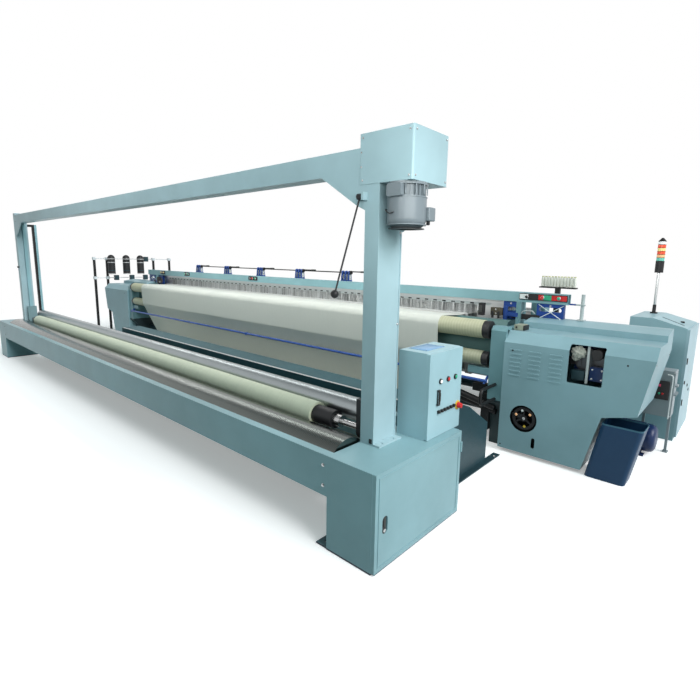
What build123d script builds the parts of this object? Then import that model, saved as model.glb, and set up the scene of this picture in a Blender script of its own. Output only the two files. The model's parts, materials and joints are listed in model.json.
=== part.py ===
from build123d import *
from math import atan2, cos, degrees, hypot, pi, radians, sin, sqrt
import os

# All sizes are in millimetres. The origin lies on the floor under the middle of the loom,
# on the pad of its middle foot. X runs along the loom, Y from the cloth winder towards
# the warp beam, Z up.

# Cloth and common clearances
cloth_width = 6250
cloth_thick = 1.6
cloth_line_z = 1100.1
gap = 0.3
shaft_fit = 0.05
fine_round = 6
edge_round = 10
wide_round = 12
seat = 0.3
sheet = 3

# Loom side frames
frame_clear = 515
frame_inner_x = cloth_width / 2 + frame_clear
frame_thick = 136
frame_outer_x = frame_inner_x + frame_thick
frame_front_y = -345
frame_back_y = 1330
frame_top_z = 960
frame_foot_z = 190
frame_chamfer = 85
frame_lug = 60
frame_step = 220
foot_back_in = 260
foot_back_out = 330
foot_high_y = 60
foot_low_y = -10
foot_front_y = -250
foot_rise = 120
frame_window_y = 470
frame_window_z = 560
frame_window_depth = 460
frame_window_height = 330
heald_guide_lap = 40
journal_inset = 20
roller_step = 10
roller_step_length = 30
beam_post_width = 40
beam_post_depth = 130

# Cloth rollers of the loom
roller_y = -300
breast_z = 1038
breast_r = 82
takeup_z = 778
takeup_r = 66
roller_end_gap = 110
roller_half = frame_inner_x - roller_end_gap
wide_end_gap = 80
wide_roller_half = frame_inner_x - wide_end_gap
roller_cap = 60
roller_cap_step = 4
journal_r = 22
floor_roller_y = -112
floor_roller_z = 100
floor_roller_r = 45
back_rest_y = 1080
back_rest_r = 60
fell_y = 60
yarn_thick = 1.6

# Cross members
breast_beam_y = -160
breast_beam_depth = 90
breast_beam_z = 905
breast_beam_height = 170
breast_beam_wall = 8
rest_lip = 4
rest_low = 30
rest_high = 20
rest_front = 60
rest_nose = 14
rest_back = 20
rest_edge = 8
guard_block_z = 665
guard_block_height = 70
guard_block_depth = 60
guard_block_length = 210
base_tube_r = 42
base_tube_z = 250
foot_height = 190
foot_width = 160
foot_depth = 100
tie_pitch = 2400
tie_count = 3
tie_width = 60
brace_back = 500
foot_sole = 18
rear_rail_wall = 6
spreader_inset = 20
spreader_plate_thick = 12
spreader_plate_back = 10
spreader_plate_front = 24
rear_rail_y = 600
rear_rail_size = 80
rear_rail_z = 1290
spreader_y = -372
spreader_z = 590
spreader_r = 14
spreader_plate = 21
clip_x = 80
clip_size = 34

# Sley, reed and heald frames
sley_y = 115
sley_z = 985
sley_height = 80
sley_pivot_z = 520
sley_leg_width = 70
sley_leg_count = 6
sley_pivot_back = 60
sley_end_gap = 30
sley_half = 45
sley_lip = 18
sley_groove = 26
sley_back_drop = 20
sley_race_rise = 8
sley_leg_margin = 900
sley_leg_half = 30
sley_boss_high = 40
reed_height = 130
reed_thick = 9
reed_gaps = 120
reed_margin = 70
reed_length = cloth_width + reed_margin
reed_rim = 14
reed_open = 0.62
heald_count = 4
heald_first_y = 276
heald_pitch = 34
heald_rail = 22
heald_low_z = 770
heald_high_z = 1262
heald_end_gap = 80
heald_length = 2 * (frame_inner_x - heald_end_gap)
heald_margin = 130
heald_window = cloth_width + heald_margin
heald_travel = 45
guide_thick = 24
heald_wires = 46
heald_wire = 5
heald_rail_height = 50
heald_stile = 60
heald_shift = 18
heald_side = 100
heald_lap = 40

# Top beam with its button stations
top_beam_y = 220
top_beam_depth = 70
top_beam_low_z = 1262
top_beam_high_z = 1355
top_beam_wall = 5
top_beam_left_x = -frame_inner_x - 420
top_beam_right_x = frame_inner_x + 450
station_height = 58
station_depth = 12
station_rise = 8
station_button_r = 14
station_button_out = 8
station_lengths = (150, 170, 210, 430)
station_places = (220 - frame_inner_x, -2500, -510, frame_inner_x + 230)

# Lever brackets on the rear rail
bracket_count = 5
bracket_pitch = 960
bracket_first_x = -2790
bracket_cheek = 22
bracket_span = 62
bracket_top_z = 1475
bracket_depth = 70
bracket_shaft_drop = 22
bracket_eye = 24
bracket_eye_rise = 2
bracket_sole = 16
lever_shaft_out = 40
lever_hub_half = 10
lever_hub_gap = 14
lever_shaft_r = 8
lever_length = 260
lever_r = 8

# Warp beam
warp_beam_y = 1150
warp_beam_z = 545
warp_barrel_r = 110
warp_flange_r = 370
warp_flange_thick = 24
warp_rim_depth = 30
warp_rim_thick = 14
warp_yarn_r = 300
warp_margin = 105
warp_half = cloth_width / 2 + warp_margin
stop_rail_y = 760
stop_rail_count = 4
stop_rail_pitch = 45
stop_plate_rise = 70
stop_rail_spread = 74
stop_bar_depth = 14
stop_bar_height = 24

# End covers
cover_gap = 0.3
cover_length = 1097
cover_end_x = frame_outer_x + cover_gap + cover_length
cover_front_y = -370
cover_bottom_z = 30
cover_knee_z = 963
cover_chamfer = 89
cover_ledge = 300
cover_hood_rise = 50
cover_hood_slope = 30
cover_hood_depth = 190
cover_hood_flat = 70
cover_low_length = 680
cover_step_length = 790
cover_step_low_z = 484
cover_step_high_x = 1020
cover_step_high_z = 543
window_x = 520
window_width = 250
window_low_z = 712
window_height = 296
wheel_x = 206
wheel_z = 330
wheel_hole_r = 114
wheel_r = 96
slot_x = 302
slot_z = 139
slot_length = 90
slot_width = 30
louvre_columns = (100, 258, 425)
louvre_rows = 7
louvre_pitch = 36
louvre_top_z = 905
louvre_length = 100
louvre_height = 12
louvre_rise = 5

# Waste bin and drive motor
bin_gap = 31
bin_x = frame_outer_x + cover_low_length + bin_gap
bin_width = 280
bin_y = -262
bin_depth = 240
bin_height = 448
bin_lean = 85
bin_wall = 4
bin_corner = 35
motor_r = 128
motor_back = 313.3
motor_x = cover_end_x - motor_back
motor_y = 480
motor_length = 270
motor_foot = 12
motor_flange = 22
motor_cowl = 90
motor_round = 50
motor_rib = 12
motor_bend_share = 0.3
motor_rib_share = 1.6
motor_foot_spread = 1.3
motor_base_spread = 1.1
motor_rib_count = 24

# Electric cabinet and signal beacon
electric_back = 196.3
electric_x = cover_end_x - electric_back
electric_width = 484
electric_y = 1335
electric_depth = 726
electric_flat = 192
electric_high_z = 1137
electric_low_z = 1058
electric_plinth = 40
electric_wall = 4
beacon_inset = 132
beacon_x = electric_x - beacon_inset
beacon_y = 1500
beacon_pole_r = 11
beacon_pole_top = 1553
beacon_lamp_r = 34
beacon_base_top = 1670
beacon_lamp_top = 1900
beacon_cap = 34
box_back = 83.3
box_x = cover_end_x - box_back
box_width = 230
box_y = 560
box_depth = 150
box_low_z = 350
box_height = 400
box_leg = 20

# Weft supply stand
stand_gap = 396.7
stand_x = -cover_end_x - stand_gap
stand_ys = (-400, -150, 860, 1240)
stand_post_r = 26
stand_base_r = 84
stand_joint = 58
stand_top_z = 1575
stand_rod_r = 6
stand_rod_low_z = 1150
stand_rod_drop = 20
stand_rod_high_z = stand_top_z - stand_rod_drop
feeder_ys = (-95, 215, 520)
feeder_r = 72
feeder_low_z = 1230
feeder_top_z = 1640
feeder_arm = 100

# Castings and small things at the loom's right end
casting_inner_x = frame_inner_x - 73
casting_outer_x = frame_outer_x + 159
casting_places = (casting_inner_x, casting_outer_x, -casting_inner_x, -casting_outer_x)
casting_widths = (146, 240, 146, 240)
casting_y = 226
casting_depth = 44
casting_web = 40
casting_sole = 14
casting_sole_lip = 4
guide_post_x = frame_outer_x + 424
guide_post_r = 15
guide_post_top = 1362
guide_rod_r = 7
guide_rod_length = 131
guide_rod_z = 1270
guide_rod_back = 105
receiver_rail_y = -160
receiver_rail_z = 850
receiver_rail_size = 50
receiver_case = 110
receiver_places = ((85, 78), (190, 47))
receiver_disc_rise = 10
receiver_top_y = -30
receiver_top_z = 85
receiver_top_depth = 30
receiver_front = 40
receiver_front_z = 25
wheel_y = -345
wheel_rim = 12
wheel_hub_r = 26
wheel_shaft_r = 12
wheel_bearing_y = -300
wheel_bearing_length = 60
bobbin_tray_y = 1080
bobbin_tray_z = 1362
bobbin_tray_length = 380
bobbin_tray_depth = 86
bobbin_count = 11
bobbin_r = 15
bobbin_height = 112
foot_rail_r = 14
foot_rail_y = -620
foot_rail_low_z = 440
foot_rail_high_z = 570

# Cloth winder
winder_x = 130
winder_margin = 775
winder_half = cloth_width / 2 + winder_margin
winder_y = -2400
cabinet_width = 346
cabinet_depth = 872
cabinet_height = 562
cabinet_sheet = 4
door_thick = 22
door_margin = 14
front_beam_height = 242
front_beam_flange = 55
front_beam_web = 6
rear_beam_depth = 72
front_drum_y = 190
front_drum_z = 440
front_drum_r = 165
rear_roller_y = 520
rear_roller_z = 650
rear_roller_r = 75
drum_end_gap = 14
drum_journal_r = 30
drum_neck_share = 0.4
drum_journal_in = 24
floor_flange = 90
bearing_hollow_rise = 8
bearing_hollow = 18
bearing_inset = 6
bearing_width = 50
bearing_depth = 54
bearing_top = 705
guide_roller_y = 600
guide_roller_z = 100
guide_roller_r = 45
roll_r = 78
roll_tube_r = 60
roll_tube_extra = 138
roll_cloth_x = 95
drift_start_y = -500
drift_end_y = -1600
roll_hub_r = 40
roll_hub_length = 55
roll_shaft_r = 20
post_inset = 345
post_width = 98
post_y = 276
post_depth = 213
left_post_depth = 150
post_wall = 8
post_top = 2240
crossbeam_height = 126
crossbeam_top = 2215
crossbeam_depth = 110
gusset_size = 290
gusset_thick = 10
base_plate_width = 145
base_plate_thick = 10
base_plate_hole = 9
feeler_pin_r = 8
feeler_pin_length = 46
feeler_lug = 36
housing_right_in = 37
housing_floor_gap = 8
housing_floor_less = 55
housing_width = 352
housing_depth = 328
housing_height = 262
housing_bottom = 2023
lift_flange = 14
lift_body_share = 0.85
lift_cowl_round = 50
lift_cowl_bend = 14
lift_box_drop = 22
lift_box_share = 0.7
lift_box_out = 0.55
lift_motor_r = 104
lift_motor_x = winder_x + winder_half - 135
lift_motor_y = 370
lift_cowl_bottom = 1790
lift_cowl_top = 1950
lift_box_width = 90
lift_box_height = 90
rail_thick = 30
rail_depth = 40
rail_foot = 60
lift_rail_top = 2080
chain_guard_y = -1895
chain_guard_width = 36
chain_guard_depth = 30
chain_guard_flange = 50
carriage_r = 60
carriage_top = 800
carriage_jaw_z = 620
carriage_thick = 38
carriage_jaw = 18
guard_width = 70
guard_depth = 60
guard_length = 245
guard_bottom = 1785
feeler_r = 5
feeler_ball_r = 22
feeler_length = 552
feeler_lean = -20
feeler_pivot_z = 1960
feeler_boss_r = 16
feeler_boss_length = 30
control_inset = 59
control_width = 220
control_y = 549
control_depth = 384
control_height = 530
lamp_r = 13
lamp_out = 9
switch_out = 14
switch_count = 6
switch_y = 752
switch_z = 160
switch_pitch = 36
switch_length = 20
switch_depth = 16
lamp_y = 762
lamp_z = 348
lamp_pitch = 88
handle_y = 650
handle_z = 252
handle_length = 96
handle_width = 24
stop_from_edge = 34
stop_rise = 150
stop_taper = 12
stop_r = 20
stop_stem_r = 9
stop_out = 30
stop_travel = 6

# Walkway between winder and loom
walkway_right_x = frame_outer_x + 30
walkway_left_x = -1570
walkway_front_y = -1370
walkway_top_z = 587
walkway_nose = 62
walkway_flat_y = -1120
walkway_bend_y = -997
walkway_bend_z = 539
walkway_back_y = -665
walkway_back_z = 331
walkway_sheet = 5
walkway_bracket_xs = (-1370, 130, 1630, walkway_right_x - 676)
walkway_bracket_thick = 12
walkway_foot = 185
rear_beam_y = 800

web_r = cloth_thick / 2 + gap
cover_hood_end = cover_front_y + cover_chamfer + cover_ledge + cover_hood_depth + cover_hood_flat
os.makedirs("parts", exist_ok=True)


def save(part, label):
    """Names a finished piece and writes it."""
    part.label = label
    export_step(part, f"parts/{label}.step")


def tangent(first, first_r, first_side, second, second_r, second_side):
    """The two ends of a straight run that touches two circles; a side is 1 where the
    circle lies left of the run and -1 where it lies right."""
    dy = second[0] - first[0]
    dz = second[1] - first[1]
    across = second_side * second_r - first_side * first_r
    turn = atan2(dz, dy) - atan2(across, sqrt(dy * dy + dz * dz - across * across))
    normal = (-sin(turn), cos(turn))
    start = (first[0] - first_side * first_r * normal[0], first[1] - first_side * first_r * normal[1])
    end = (second[0] - second_side * second_r * normal[0], second[1] - second_side * second_r * normal[1])
    return start, end, normal


def shifted(point, normal, amount):
    """A point moved along a normal."""
    return (point[0] + normal[0] * amount, point[1] + normal[1] * amount)


def bisector(first, second):
    """The unit vector half way between two unit vectors."""
    y = first[0] + second[0]
    z = first[1] + second[1]
    return (y / hypot(y, z), z / hypot(y, z))


def turned_roller(half, radius, collar, journal, journal_end, collar_length):
    """A solid roller about X: body, stepped collar and journal at both ends."""
    with BuildPart() as piece:
        with BuildSketch(Plane.XZ):
            with BuildLine():
                Polyline(
                    (0, 0),
                    (journal_end, 0),
                    (journal_end, journal),
                    (half + collar_length, journal),
                    (half + collar_length, collar),
                    (half, collar),
                    (half, radius),
                    (0, radius),
                    close=True,
                )
            make_face()
        revolve(axis=Axis.X)
        mirror(about=Plane.YZ)
    return piece.part


# Side frames of the loom, one at each end, with the post that carries the top beam, the
# block under the rollers and the grooved guide that the heald frames slide in
back_rest_z = cloth_line_z - web_r - back_rest_r
frame_section = (
    (frame_front_y, frame_foot_z + frame_step),
    (frame_front_y, frame_top_z + frame_chamfer),
    (frame_front_y + frame_lug / 2, frame_top_z + 2 * frame_lug),
    (roller_y + frame_lug, frame_top_z + 2 * frame_lug),
    (roller_y + 2 * frame_lug, frame_top_z + frame_chamfer),
    (top_beam_y - beam_post_depth / 2, frame_top_z + frame_chamfer),
    (top_beam_y - beam_post_depth / 2, top_beam_low_z),
    (top_beam_y + beam_post_depth / 2, top_beam_low_z),
    (top_beam_y + beam_post_depth / 2, frame_top_z + frame_chamfer),
    (rear_rail_y - beam_post_depth / 2, frame_top_z + frame_chamfer),
    (rear_rail_y - beam_post_depth / 2, rear_rail_z + rear_rail_size / 2),
    (rear_rail_y + beam_post_depth / 2, rear_rail_z + rear_rail_size / 2),
    (rear_rail_y + beam_post_depth / 2, frame_top_z + frame_chamfer),
    (back_rest_y - 2 * frame_lug, frame_top_z + frame_chamfer),
    (back_rest_y - frame_lug, back_rest_z + frame_lug),
    (back_rest_y + frame_lug, back_rest_z + frame_lug),
    (frame_back_y, frame_top_z - 2 * frame_chamfer),
    (frame_back_y, 0),
    (frame_back_y - foot_back_in, 0),
    (frame_back_y - foot_back_out, frame_foot_z),
    (foot_high_y, frame_foot_z),
    (foot_low_y, 0),
    (foot_front_y, 0),
    (foot_front_y, frame_foot_z + foot_rise),
)
heald_middle = (heald_low_z + heald_high_z) / 2
heald_height = heald_high_z - heald_low_z
guide_low_z = heald_low_z - heald_travel
guide_high_z = heald_high_z - 2 * heald_travel
guide_depth = heald_count * heald_pitch + guide_thick / 2
guide_y = heald_first_y + (heald_count - 1) * heald_pitch / 2
frame_bores = (
    (roller_y, breast_z, journal_r),
    (roller_y, takeup_z, journal_r),
    (floor_roller_y, floor_roller_z, journal_r),
    (back_rest_y, back_rest_z, journal_r),
    (warp_beam_y, warp_beam_z, journal_r * 2),
    (sley_y + sley_pivot_back, sley_pivot_z, journal_r),
)


with BuildPart() as side_frames:
    with BuildSketch(Plane.YZ.offset(frame_inner_x)):
        with BuildLine():
            Polyline(*frame_section, close=True)
        make_face()
        with Locations((frame_window_y, frame_window_z)):
            RectangleRounded(frame_window_depth, frame_window_height, frame_lug, mode=Mode.SUBTRACT)
        for bore_y, bore_z, bore_r in frame_bores:
            with Locations((bore_y, bore_z)):
                Circle(bore_r + shaft_fit, mode=Mode.SUBTRACT)
    extrude(amount=frame_thick)
    with BuildSketch(Plane.YZ.offset(frame_inner_x - guard_block_length)):
        with Locations((roller_y, guard_block_z)):
            RectangleRounded(guard_block_depth, guard_block_height, edge_round)
    extrude(amount=guard_block_length)
    with BuildSketch(Plane.XY.offset(guide_low_z)):
        with Locations(((frame_inner_x + heald_length / 2 - heald_guide_lap) / 2, guide_y)):
            Rectangle(frame_inner_x - heald_length / 2 + heald_guide_lap, guide_depth)
        with Locations(((heald_length - heald_guide_lap) / 2, guide_y)):
            with GridLocations(0, heald_pitch, 1, heald_count):
                Rectangle(heald_guide_lap + 2 * seat, heald_rail + 2 * seat, mode=Mode.SUBTRACT)
    extrude(amount=guide_high_z - guide_low_z)
    with BuildSketch(Plane.XY.offset(top_beam_low_z)):
        with Locations((frame_inner_x + beam_post_width, top_beam_y)):
            Rectangle(frame_thick, beam_post_depth, align=(Align.MIN, Align.CENTER))
    extrude(amount=frame_top_z + frame_chamfer - top_beam_low_z, mode=Mode.SUBTRACT)
    mirror(about=Plane.YZ)
save(side_frames.part, "side_frames")

# Rollers that carry the cloth, the warp and the web under the floor plates
journal_end = frame_outer_x - journal_inset
wide_rollers = (("breast_roller", breast_z, breast_r), ("takeup_roller", takeup_z, takeup_r))
for label, centre_z, radius in wide_rollers:
    roller_part = turned_roller(
        wide_roller_half, radius, radius - roller_cap_step, journal_r, journal_end, roller_cap
    )
    save(roller_part.moved(Location((0, roller_y, centre_z))), label)
plain_rollers = (
    ("floor_roller", floor_roller_y, floor_roller_z, floor_roller_r),
    ("back_rest", back_rest_y, back_rest_z, back_rest_r),
)
for label, centre_y, centre_z, radius in plain_rollers:
    roller_part = turned_roller(
        roller_half, radius, radius - roller_step, journal_r, journal_end, roller_step_length
    )
    save(roller_part.moved(Location((0, centre_y, centre_z))), label)

# Cross members between the side frames
span = 2 * frame_inner_x
foot_y = 0
rest_top = cloth_line_z - web_r - seat
with BuildPart() as breast_beam:
    with BuildSketch(Plane.YZ.offset(-frame_inner_x)):
        with Locations((breast_beam_y, breast_beam_z)):
            RectangleRounded(breast_beam_depth, breast_beam_height, wide_round)
            RectangleRounded(
                breast_beam_depth - 2 * breast_beam_wall,
                breast_beam_height - 2 * breast_beam_wall,
                fine_round,
                mode=Mode.SUBTRACT,
            )
        with BuildLine():
            Polyline(
                (breast_beam_y + breast_beam_depth / 2 - rest_lip, breast_beam_z + rest_low),
                (breast_beam_y + breast_beam_depth / 2 + rest_lip, breast_beam_z + rest_high),
                (fell_y - rest_front, rest_top - rest_nose),
                (fell_y - rest_back, rest_top - rest_edge),
                (fell_y - rest_back, rest_top),
                (fell_y - rest_front - rest_lip, rest_top),
                close=True,
            )
        make_face()
    extrude(amount=span)
save(breast_beam.part, "breast_beam")

brace_y = warp_beam_y - brace_back
with BuildPart() as cross_members:
    with BuildSketch(Plane.YZ.offset(-frame_inner_x)):
        with Locations((foot_y, base_tube_z), (brace_y, base_tube_z)):
            Circle(base_tube_r)
        with Locations((rear_rail_y, rear_rail_z)):
            Rectangle(rear_rail_size, rear_rail_size)
            Rectangle(
                rear_rail_size - 2 * rear_rail_wall, rear_rail_size - 2 * rear_rail_wall, mode=Mode.SUBTRACT
            )
    extrude(amount=span)
    for foot_place in (foot_y, brace_y):
        with BuildSketch(Plane.XZ.offset(-foot_place - foot_depth / 2)):
            with BuildLine():
                Polyline(
                    (-foot_width, 0),
                    (foot_width, 0),
                    (foot_width, foot_sole),
                    (foot_width / 2, foot_height),
                    (foot_width / 2, base_tube_z),
                    (-foot_width / 2, base_tube_z),
                    (-foot_width / 2, foot_height),
                    (-foot_width, foot_sole),
                    close=True,
                )
            make_face()
        extrude(amount=foot_depth)
    with BuildSketch(Plane.XY.offset(base_tube_z)):
        with Locations((0, brace_y / 2)):
            with GridLocations(tie_pitch, 0, tie_count, 1):
                Rectangle(tie_width, brace_y)
    extrude(amount=base_tube_r / 2, both=True)
save(cross_members.part, "cross_members")

# Spreader bar in front of the cloth, on two end brackets, with its clip
with BuildPart() as spreader_bar:
    with BuildSketch(Plane.YZ.offset(-frame_inner_x)):
        with Locations((spreader_y, spreader_z)):
            Circle(spreader_r)
    extrude(amount=span)
    for end_x in (spreader_inset - frame_inner_x, frame_inner_x - spreader_inset):
        with BuildSketch(Plane.YZ.offset(end_x - spreader_plate_thick / 2)):
            with BuildLine():
                Polyline(
                    (spreader_y - spreader_plate, spreader_z - spreader_plate),
                    (spreader_y + spreader_plate, spreader_z - spreader_plate),
                    (roller_y + spreader_plate_back, guard_block_z - guard_block_height / 2),
                    (roller_y - spreader_plate_front, guard_block_z - guard_block_height / 2),
                    close=True,
                )
            make_face()
        extrude(amount=spreader_plate_thick)
    with Locations((clip_x, spreader_y, spreader_z)):
        Box(clip_size, clip_size, clip_size)
save(spreader_bar.part, "spreader_bar")

# Cloth web: from the fell over the breast roller, round the take-up and floor rollers,
# under the walkway, where it drifts sideways, and up to where it meets the roll
drum_centre = (winder_y + front_drum_y, front_drum_z)
rear_centre = (winder_y + rear_roller_y, rear_roller_z)
drum_reach = front_drum_r + roll_r + 2 * gap + cloth_thick
rear_reach = rear_roller_r + roll_r + gap
centre_span = hypot(rear_centre[0] - drum_centre[0], rear_centre[1] - drum_centre[1])
along = (drum_reach**2 - rear_reach**2 + centre_span**2) / (2 * centre_span)
above = sqrt(drum_reach**2 - along**2)
valley = ((rear_centre[0] - drum_centre[0]) / centre_span, (rear_centre[1] - drum_centre[1]) / centre_span)
roll_y = drum_centre[0] + along * valley[0] - above * valley[1]
roll_z = drum_centre[1] + along * valley[1] + above * valley[0]
nip = ((roll_y - drum_centre[0]) / drum_reach, (roll_z - drum_centre[1]) / drum_reach)
web_circles = (
    ((fell_y, cloth_line_z), 0, 1),
    ((roller_y, breast_z), breast_r + web_r, 1),
    ((roller_y, takeup_z), takeup_r + web_r, 1),
    ((floor_roller_y, floor_roller_z), floor_roller_r + web_r, -1),
    ((winder_y + guide_roller_y, guide_roller_z), guide_roller_r + web_r, -1),
    (drum_centre, front_drum_r + web_r, 1),
)
web_runs = [tangent(*first, *second) for first, second in zip(web_circles, web_circles[1:])]


def web_along(middle_x):
    """The whole web, as wide as the cloth, about one middle plane."""
    with BuildPart() as piece:
        with BuildSketch(Plane.YZ.offset(middle_x - cloth_width / 2)):
            with BuildLine():
                for side in (cloth_thick / 2, -cloth_thick / 2):
                    for number, (start, end, normal) in enumerate(web_runs):
                        Line(shifted(start, normal, side), shifted(end, normal, side))
                        centre, radius, lies = web_circles[number + 1]
                        if number + 1 < len(web_runs):
                            next_normal = web_runs[number + 1][2]
                        else:
                            next_normal = (-nip[0] * lies, -nip[1] * lies)
                        reach = side - lies * radius
                        ThreePointArc(
                            shifted(centre, normal, reach),
                            shifted(centre, bisector(normal, next_normal), reach),
                            shifted(centre, next_normal, reach),
                        )
                first_start, first_end, first_normal = web_runs[0]
                Line(
                    shifted(first_start, first_normal, cloth_thick / 2),
                    shifted(first_start, first_normal, -cloth_thick / 2),
                )
                last_reach = front_drum_r + web_r
                Line(
                    shifted(drum_centre, nip, last_reach - cloth_thick / 2),
                    shifted(drum_centre, nip, last_reach + cloth_thick / 2),
                )
            make_face()
        extrude(amount=cloth_width)
    return piece.part


loom_web = web_along(0)
winder_web = web_along(roll_cloth_x)
floor_run_z = floor_roller_z - floor_roller_r - web_r
cut_size = 2 * journal_end
with BuildPart() as winder_half_web:
    add(winder_web)
    with Locations((0, drift_end_y + cut_size / 2, 0)):
        Box(cut_size, cut_size, cut_size, mode=Mode.SUBTRACT)
with BuildPart() as cloth_web:
    add(loom_web)
    with Locations((0, drift_start_y - cut_size / 2, 0)):
        Box(cut_size, cut_size, cut_size, mode=Mode.SUBTRACT)
    add(winder_half_web.part)
    with BuildSketch(Plane.XY.offset(floor_run_z - cloth_thick / 2)):
        with BuildLine():
            Polyline(
                (-cloth_width / 2, drift_start_y),
                (cloth_width / 2, drift_start_y),
                (cloth_width / 2 + roll_cloth_x, drift_end_y),
                (-cloth_width / 2 + roll_cloth_x, drift_end_y),
                close=True,
            )
        make_face()
    extrude(amount=cloth_thick)
save(cloth_web.part, "cloth_web")

# Warp sheet: from the yarn on the beam over the back rest to the heald frames
warp_end_y = heald_first_y + heald_count * heald_pitch
warp_run = tangent(
    (warp_beam_y, warp_beam_z), warp_yarn_r + web_r, 1, (back_rest_y, back_rest_z), back_rest_r + web_r, 1
)
back_top = (back_rest_y, back_rest_z + back_rest_r + web_r)
with BuildPart() as warp_sheet:
    with BuildSketch(Plane.YZ.offset(-cloth_width / 2)):
        with BuildLine():
            for side in (yarn_thick / 2, -yarn_thick / 2):
                start, end, normal = warp_run
                Line(shifted(start, normal, side), shifted(end, normal, side))
                reach = side - (back_rest_r + web_r)
                ThreePointArc(
                    shifted((back_rest_y, back_rest_z), normal, reach),
                    shifted((back_rest_y, back_rest_z), bisector(normal, (0, -1)), reach),
                    shifted((back_rest_y, back_rest_z), (0, -1), reach),
                )
                Line(shifted(back_top, (0, -1), side), (warp_end_y, back_top[1] - side))
            Line((warp_end_y, back_top[1] - yarn_thick / 2), (warp_end_y, back_top[1] + yarn_thick / 2))
            Line(
                shifted(warp_run[0], warp_run[2], yarn_thick / 2),
                shifted(warp_run[0], warp_run[2], -yarn_thick / 2),
            )
        make_face()
    extrude(amount=cloth_width)
save(warp_sheet.part, "warp_sheet")

# Warp beam with its flanges, and the yarn wound on it
with BuildPart() as warp_beam:
    with BuildSketch(Plane.XZ):
        with BuildLine():
            Polyline(
                (0, 0),
                (journal_end, 0),
                (journal_end, journal_r * 2),
                (warp_half + warp_flange_thick, journal_r * 2),
                (warp_half + warp_flange_thick, warp_flange_r - warp_rim_depth),
                (warp_half + warp_flange_thick + warp_rim_thick, warp_flange_r - warp_rim_depth),
                (warp_half + warp_flange_thick + warp_rim_thick, warp_flange_r),
                (warp_half, warp_flange_r),
                (warp_half, warp_barrel_r),
                (0, warp_barrel_r),
                close=True,
            )
        make_face()
    revolve(axis=Axis.X)
    mirror(about=Plane.YZ)
save(warp_beam.part.moved(Location((0, warp_beam_y, warp_beam_z))), "warp_beam")

with BuildPart() as warp_yarn:
    with BuildSketch(Plane.YZ.offset(-warp_half + seat)):
        with Locations((warp_beam_y, warp_beam_z)):
            Circle(warp_yarn_r)
            Circle(warp_barrel_r + seat, mode=Mode.SUBTRACT)
    extrude(amount=2 * (warp_half - seat))
save(warp_yarn.part, "warp_yarn")

# Warp stop rails above and below the sheet behind the heald frames
stop_rail_middle = stop_rail_y + (stop_rail_count - 1) * stop_rail_pitch / 2
stop_plate_top = cloth_line_z + stop_plate_rise
stop_plate_height = stop_plate_top - frame_top_z - frame_chamfer
with BuildPart() as stop_rails:
    with BuildSketch(Plane.YZ.offset(frame_inner_x)):
        with Locations((stop_rail_middle, cloth_line_z - 3)):
            with GridLocations(stop_rail_pitch, stop_rail_spread, stop_rail_count, 2):
                RectangleRounded(stop_bar_depth, stop_bar_height, 4)
    extrude(amount=-span)
    with BuildSketch(Plane.YZ.offset(frame_inner_x)):
        with Locations((stop_rail_middle, (frame_top_z + frame_chamfer + stop_plate_top) / 2)):
            RectangleRounded(stop_rail_count * stop_rail_pitch, stop_plate_height, wide_round)
    extrude(amount=frame_thick / 3)
    with BuildSketch(Plane.YZ.offset(-frame_inner_x)):
        with Locations((stop_rail_middle, (frame_top_z + frame_chamfer + stop_plate_top) / 2)):
            RectangleRounded(stop_rail_count * stop_rail_pitch, stop_plate_height, wide_round)
    extrude(amount=-frame_thick / 3)
save(stop_rails.part, "stop_rails")

# Sley with its legs and rocking shaft
with BuildPart() as sley:
    with BuildSketch(Plane.YZ.offset(sley_end_gap - frame_inner_x)):
        with BuildLine():
            Polyline(
                (sley_y - sley_half, sley_z - sley_height),
                (sley_y + sley_half, sley_z - sley_height),
                (sley_y + sley_half, sley_z),
                (sley_y + sley_lip, sley_z),
                (sley_y + sley_lip, sley_z - sley_groove),
                (sley_y, sley_z - sley_groove),
                (sley_y, sley_z + sley_race_rise),
                (sley_y - sley_half, sley_z - sley_back_drop),
                close=True,
            )
        make_face()
    extrude(amount=span - 2 * sley_end_gap)
    with BuildSketch(Plane.YZ.offset(-journal_end)):
        with Locations((sley_y + sley_pivot_back, sley_pivot_z)):
            Circle(journal_r)
    extrude(amount=2 * journal_end)
    for number in range(sley_leg_count):
        leg_x = (number - (sley_leg_count - 1) / 2) * (span - sley_leg_margin) / (sley_leg_count - 1)
        with BuildSketch(Plane.YZ.offset(leg_x - sley_leg_width / 2)):
            with BuildLine():
                Polyline(
                    (sley_y + sley_leg_half, sley_pivot_z - sley_leg_half),
                    (sley_y + 3 * sley_leg_half, sley_pivot_z - sley_leg_half),
                    (sley_y + 3 * sley_leg_half, sley_pivot_z + sley_boss_high),
                    (sley_y + sley_leg_half, sley_z - sley_height + 4),
                    (sley_y - sley_leg_half, sley_z - sley_height + 4),
                    close=True,
                )
            make_face()
        extrude(amount=sley_leg_width)
save(sley.part, "sley")

# Reed: two rims and its wires with open gaps between them
reed_pitch = (reed_length - 2 * reed_rim) / reed_gaps
with BuildPart() as reed:
    with BuildSketch(Plane.XZ.offset(-sley_y - sley_lip / 2 - reed_thick / 2)):
        with Locations((0, sley_z - sley_groove + seat + reed_height / 2 + reed_rim)):
            Rectangle(reed_length, reed_height + 2 * reed_rim)
            with GridLocations(reed_pitch, 0, reed_gaps, 1):
                Rectangle(reed_pitch * reed_open, reed_height, mode=Mode.SUBTRACT)
    extrude(amount=reed_thick)
save(reed.part, "reed")

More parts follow.
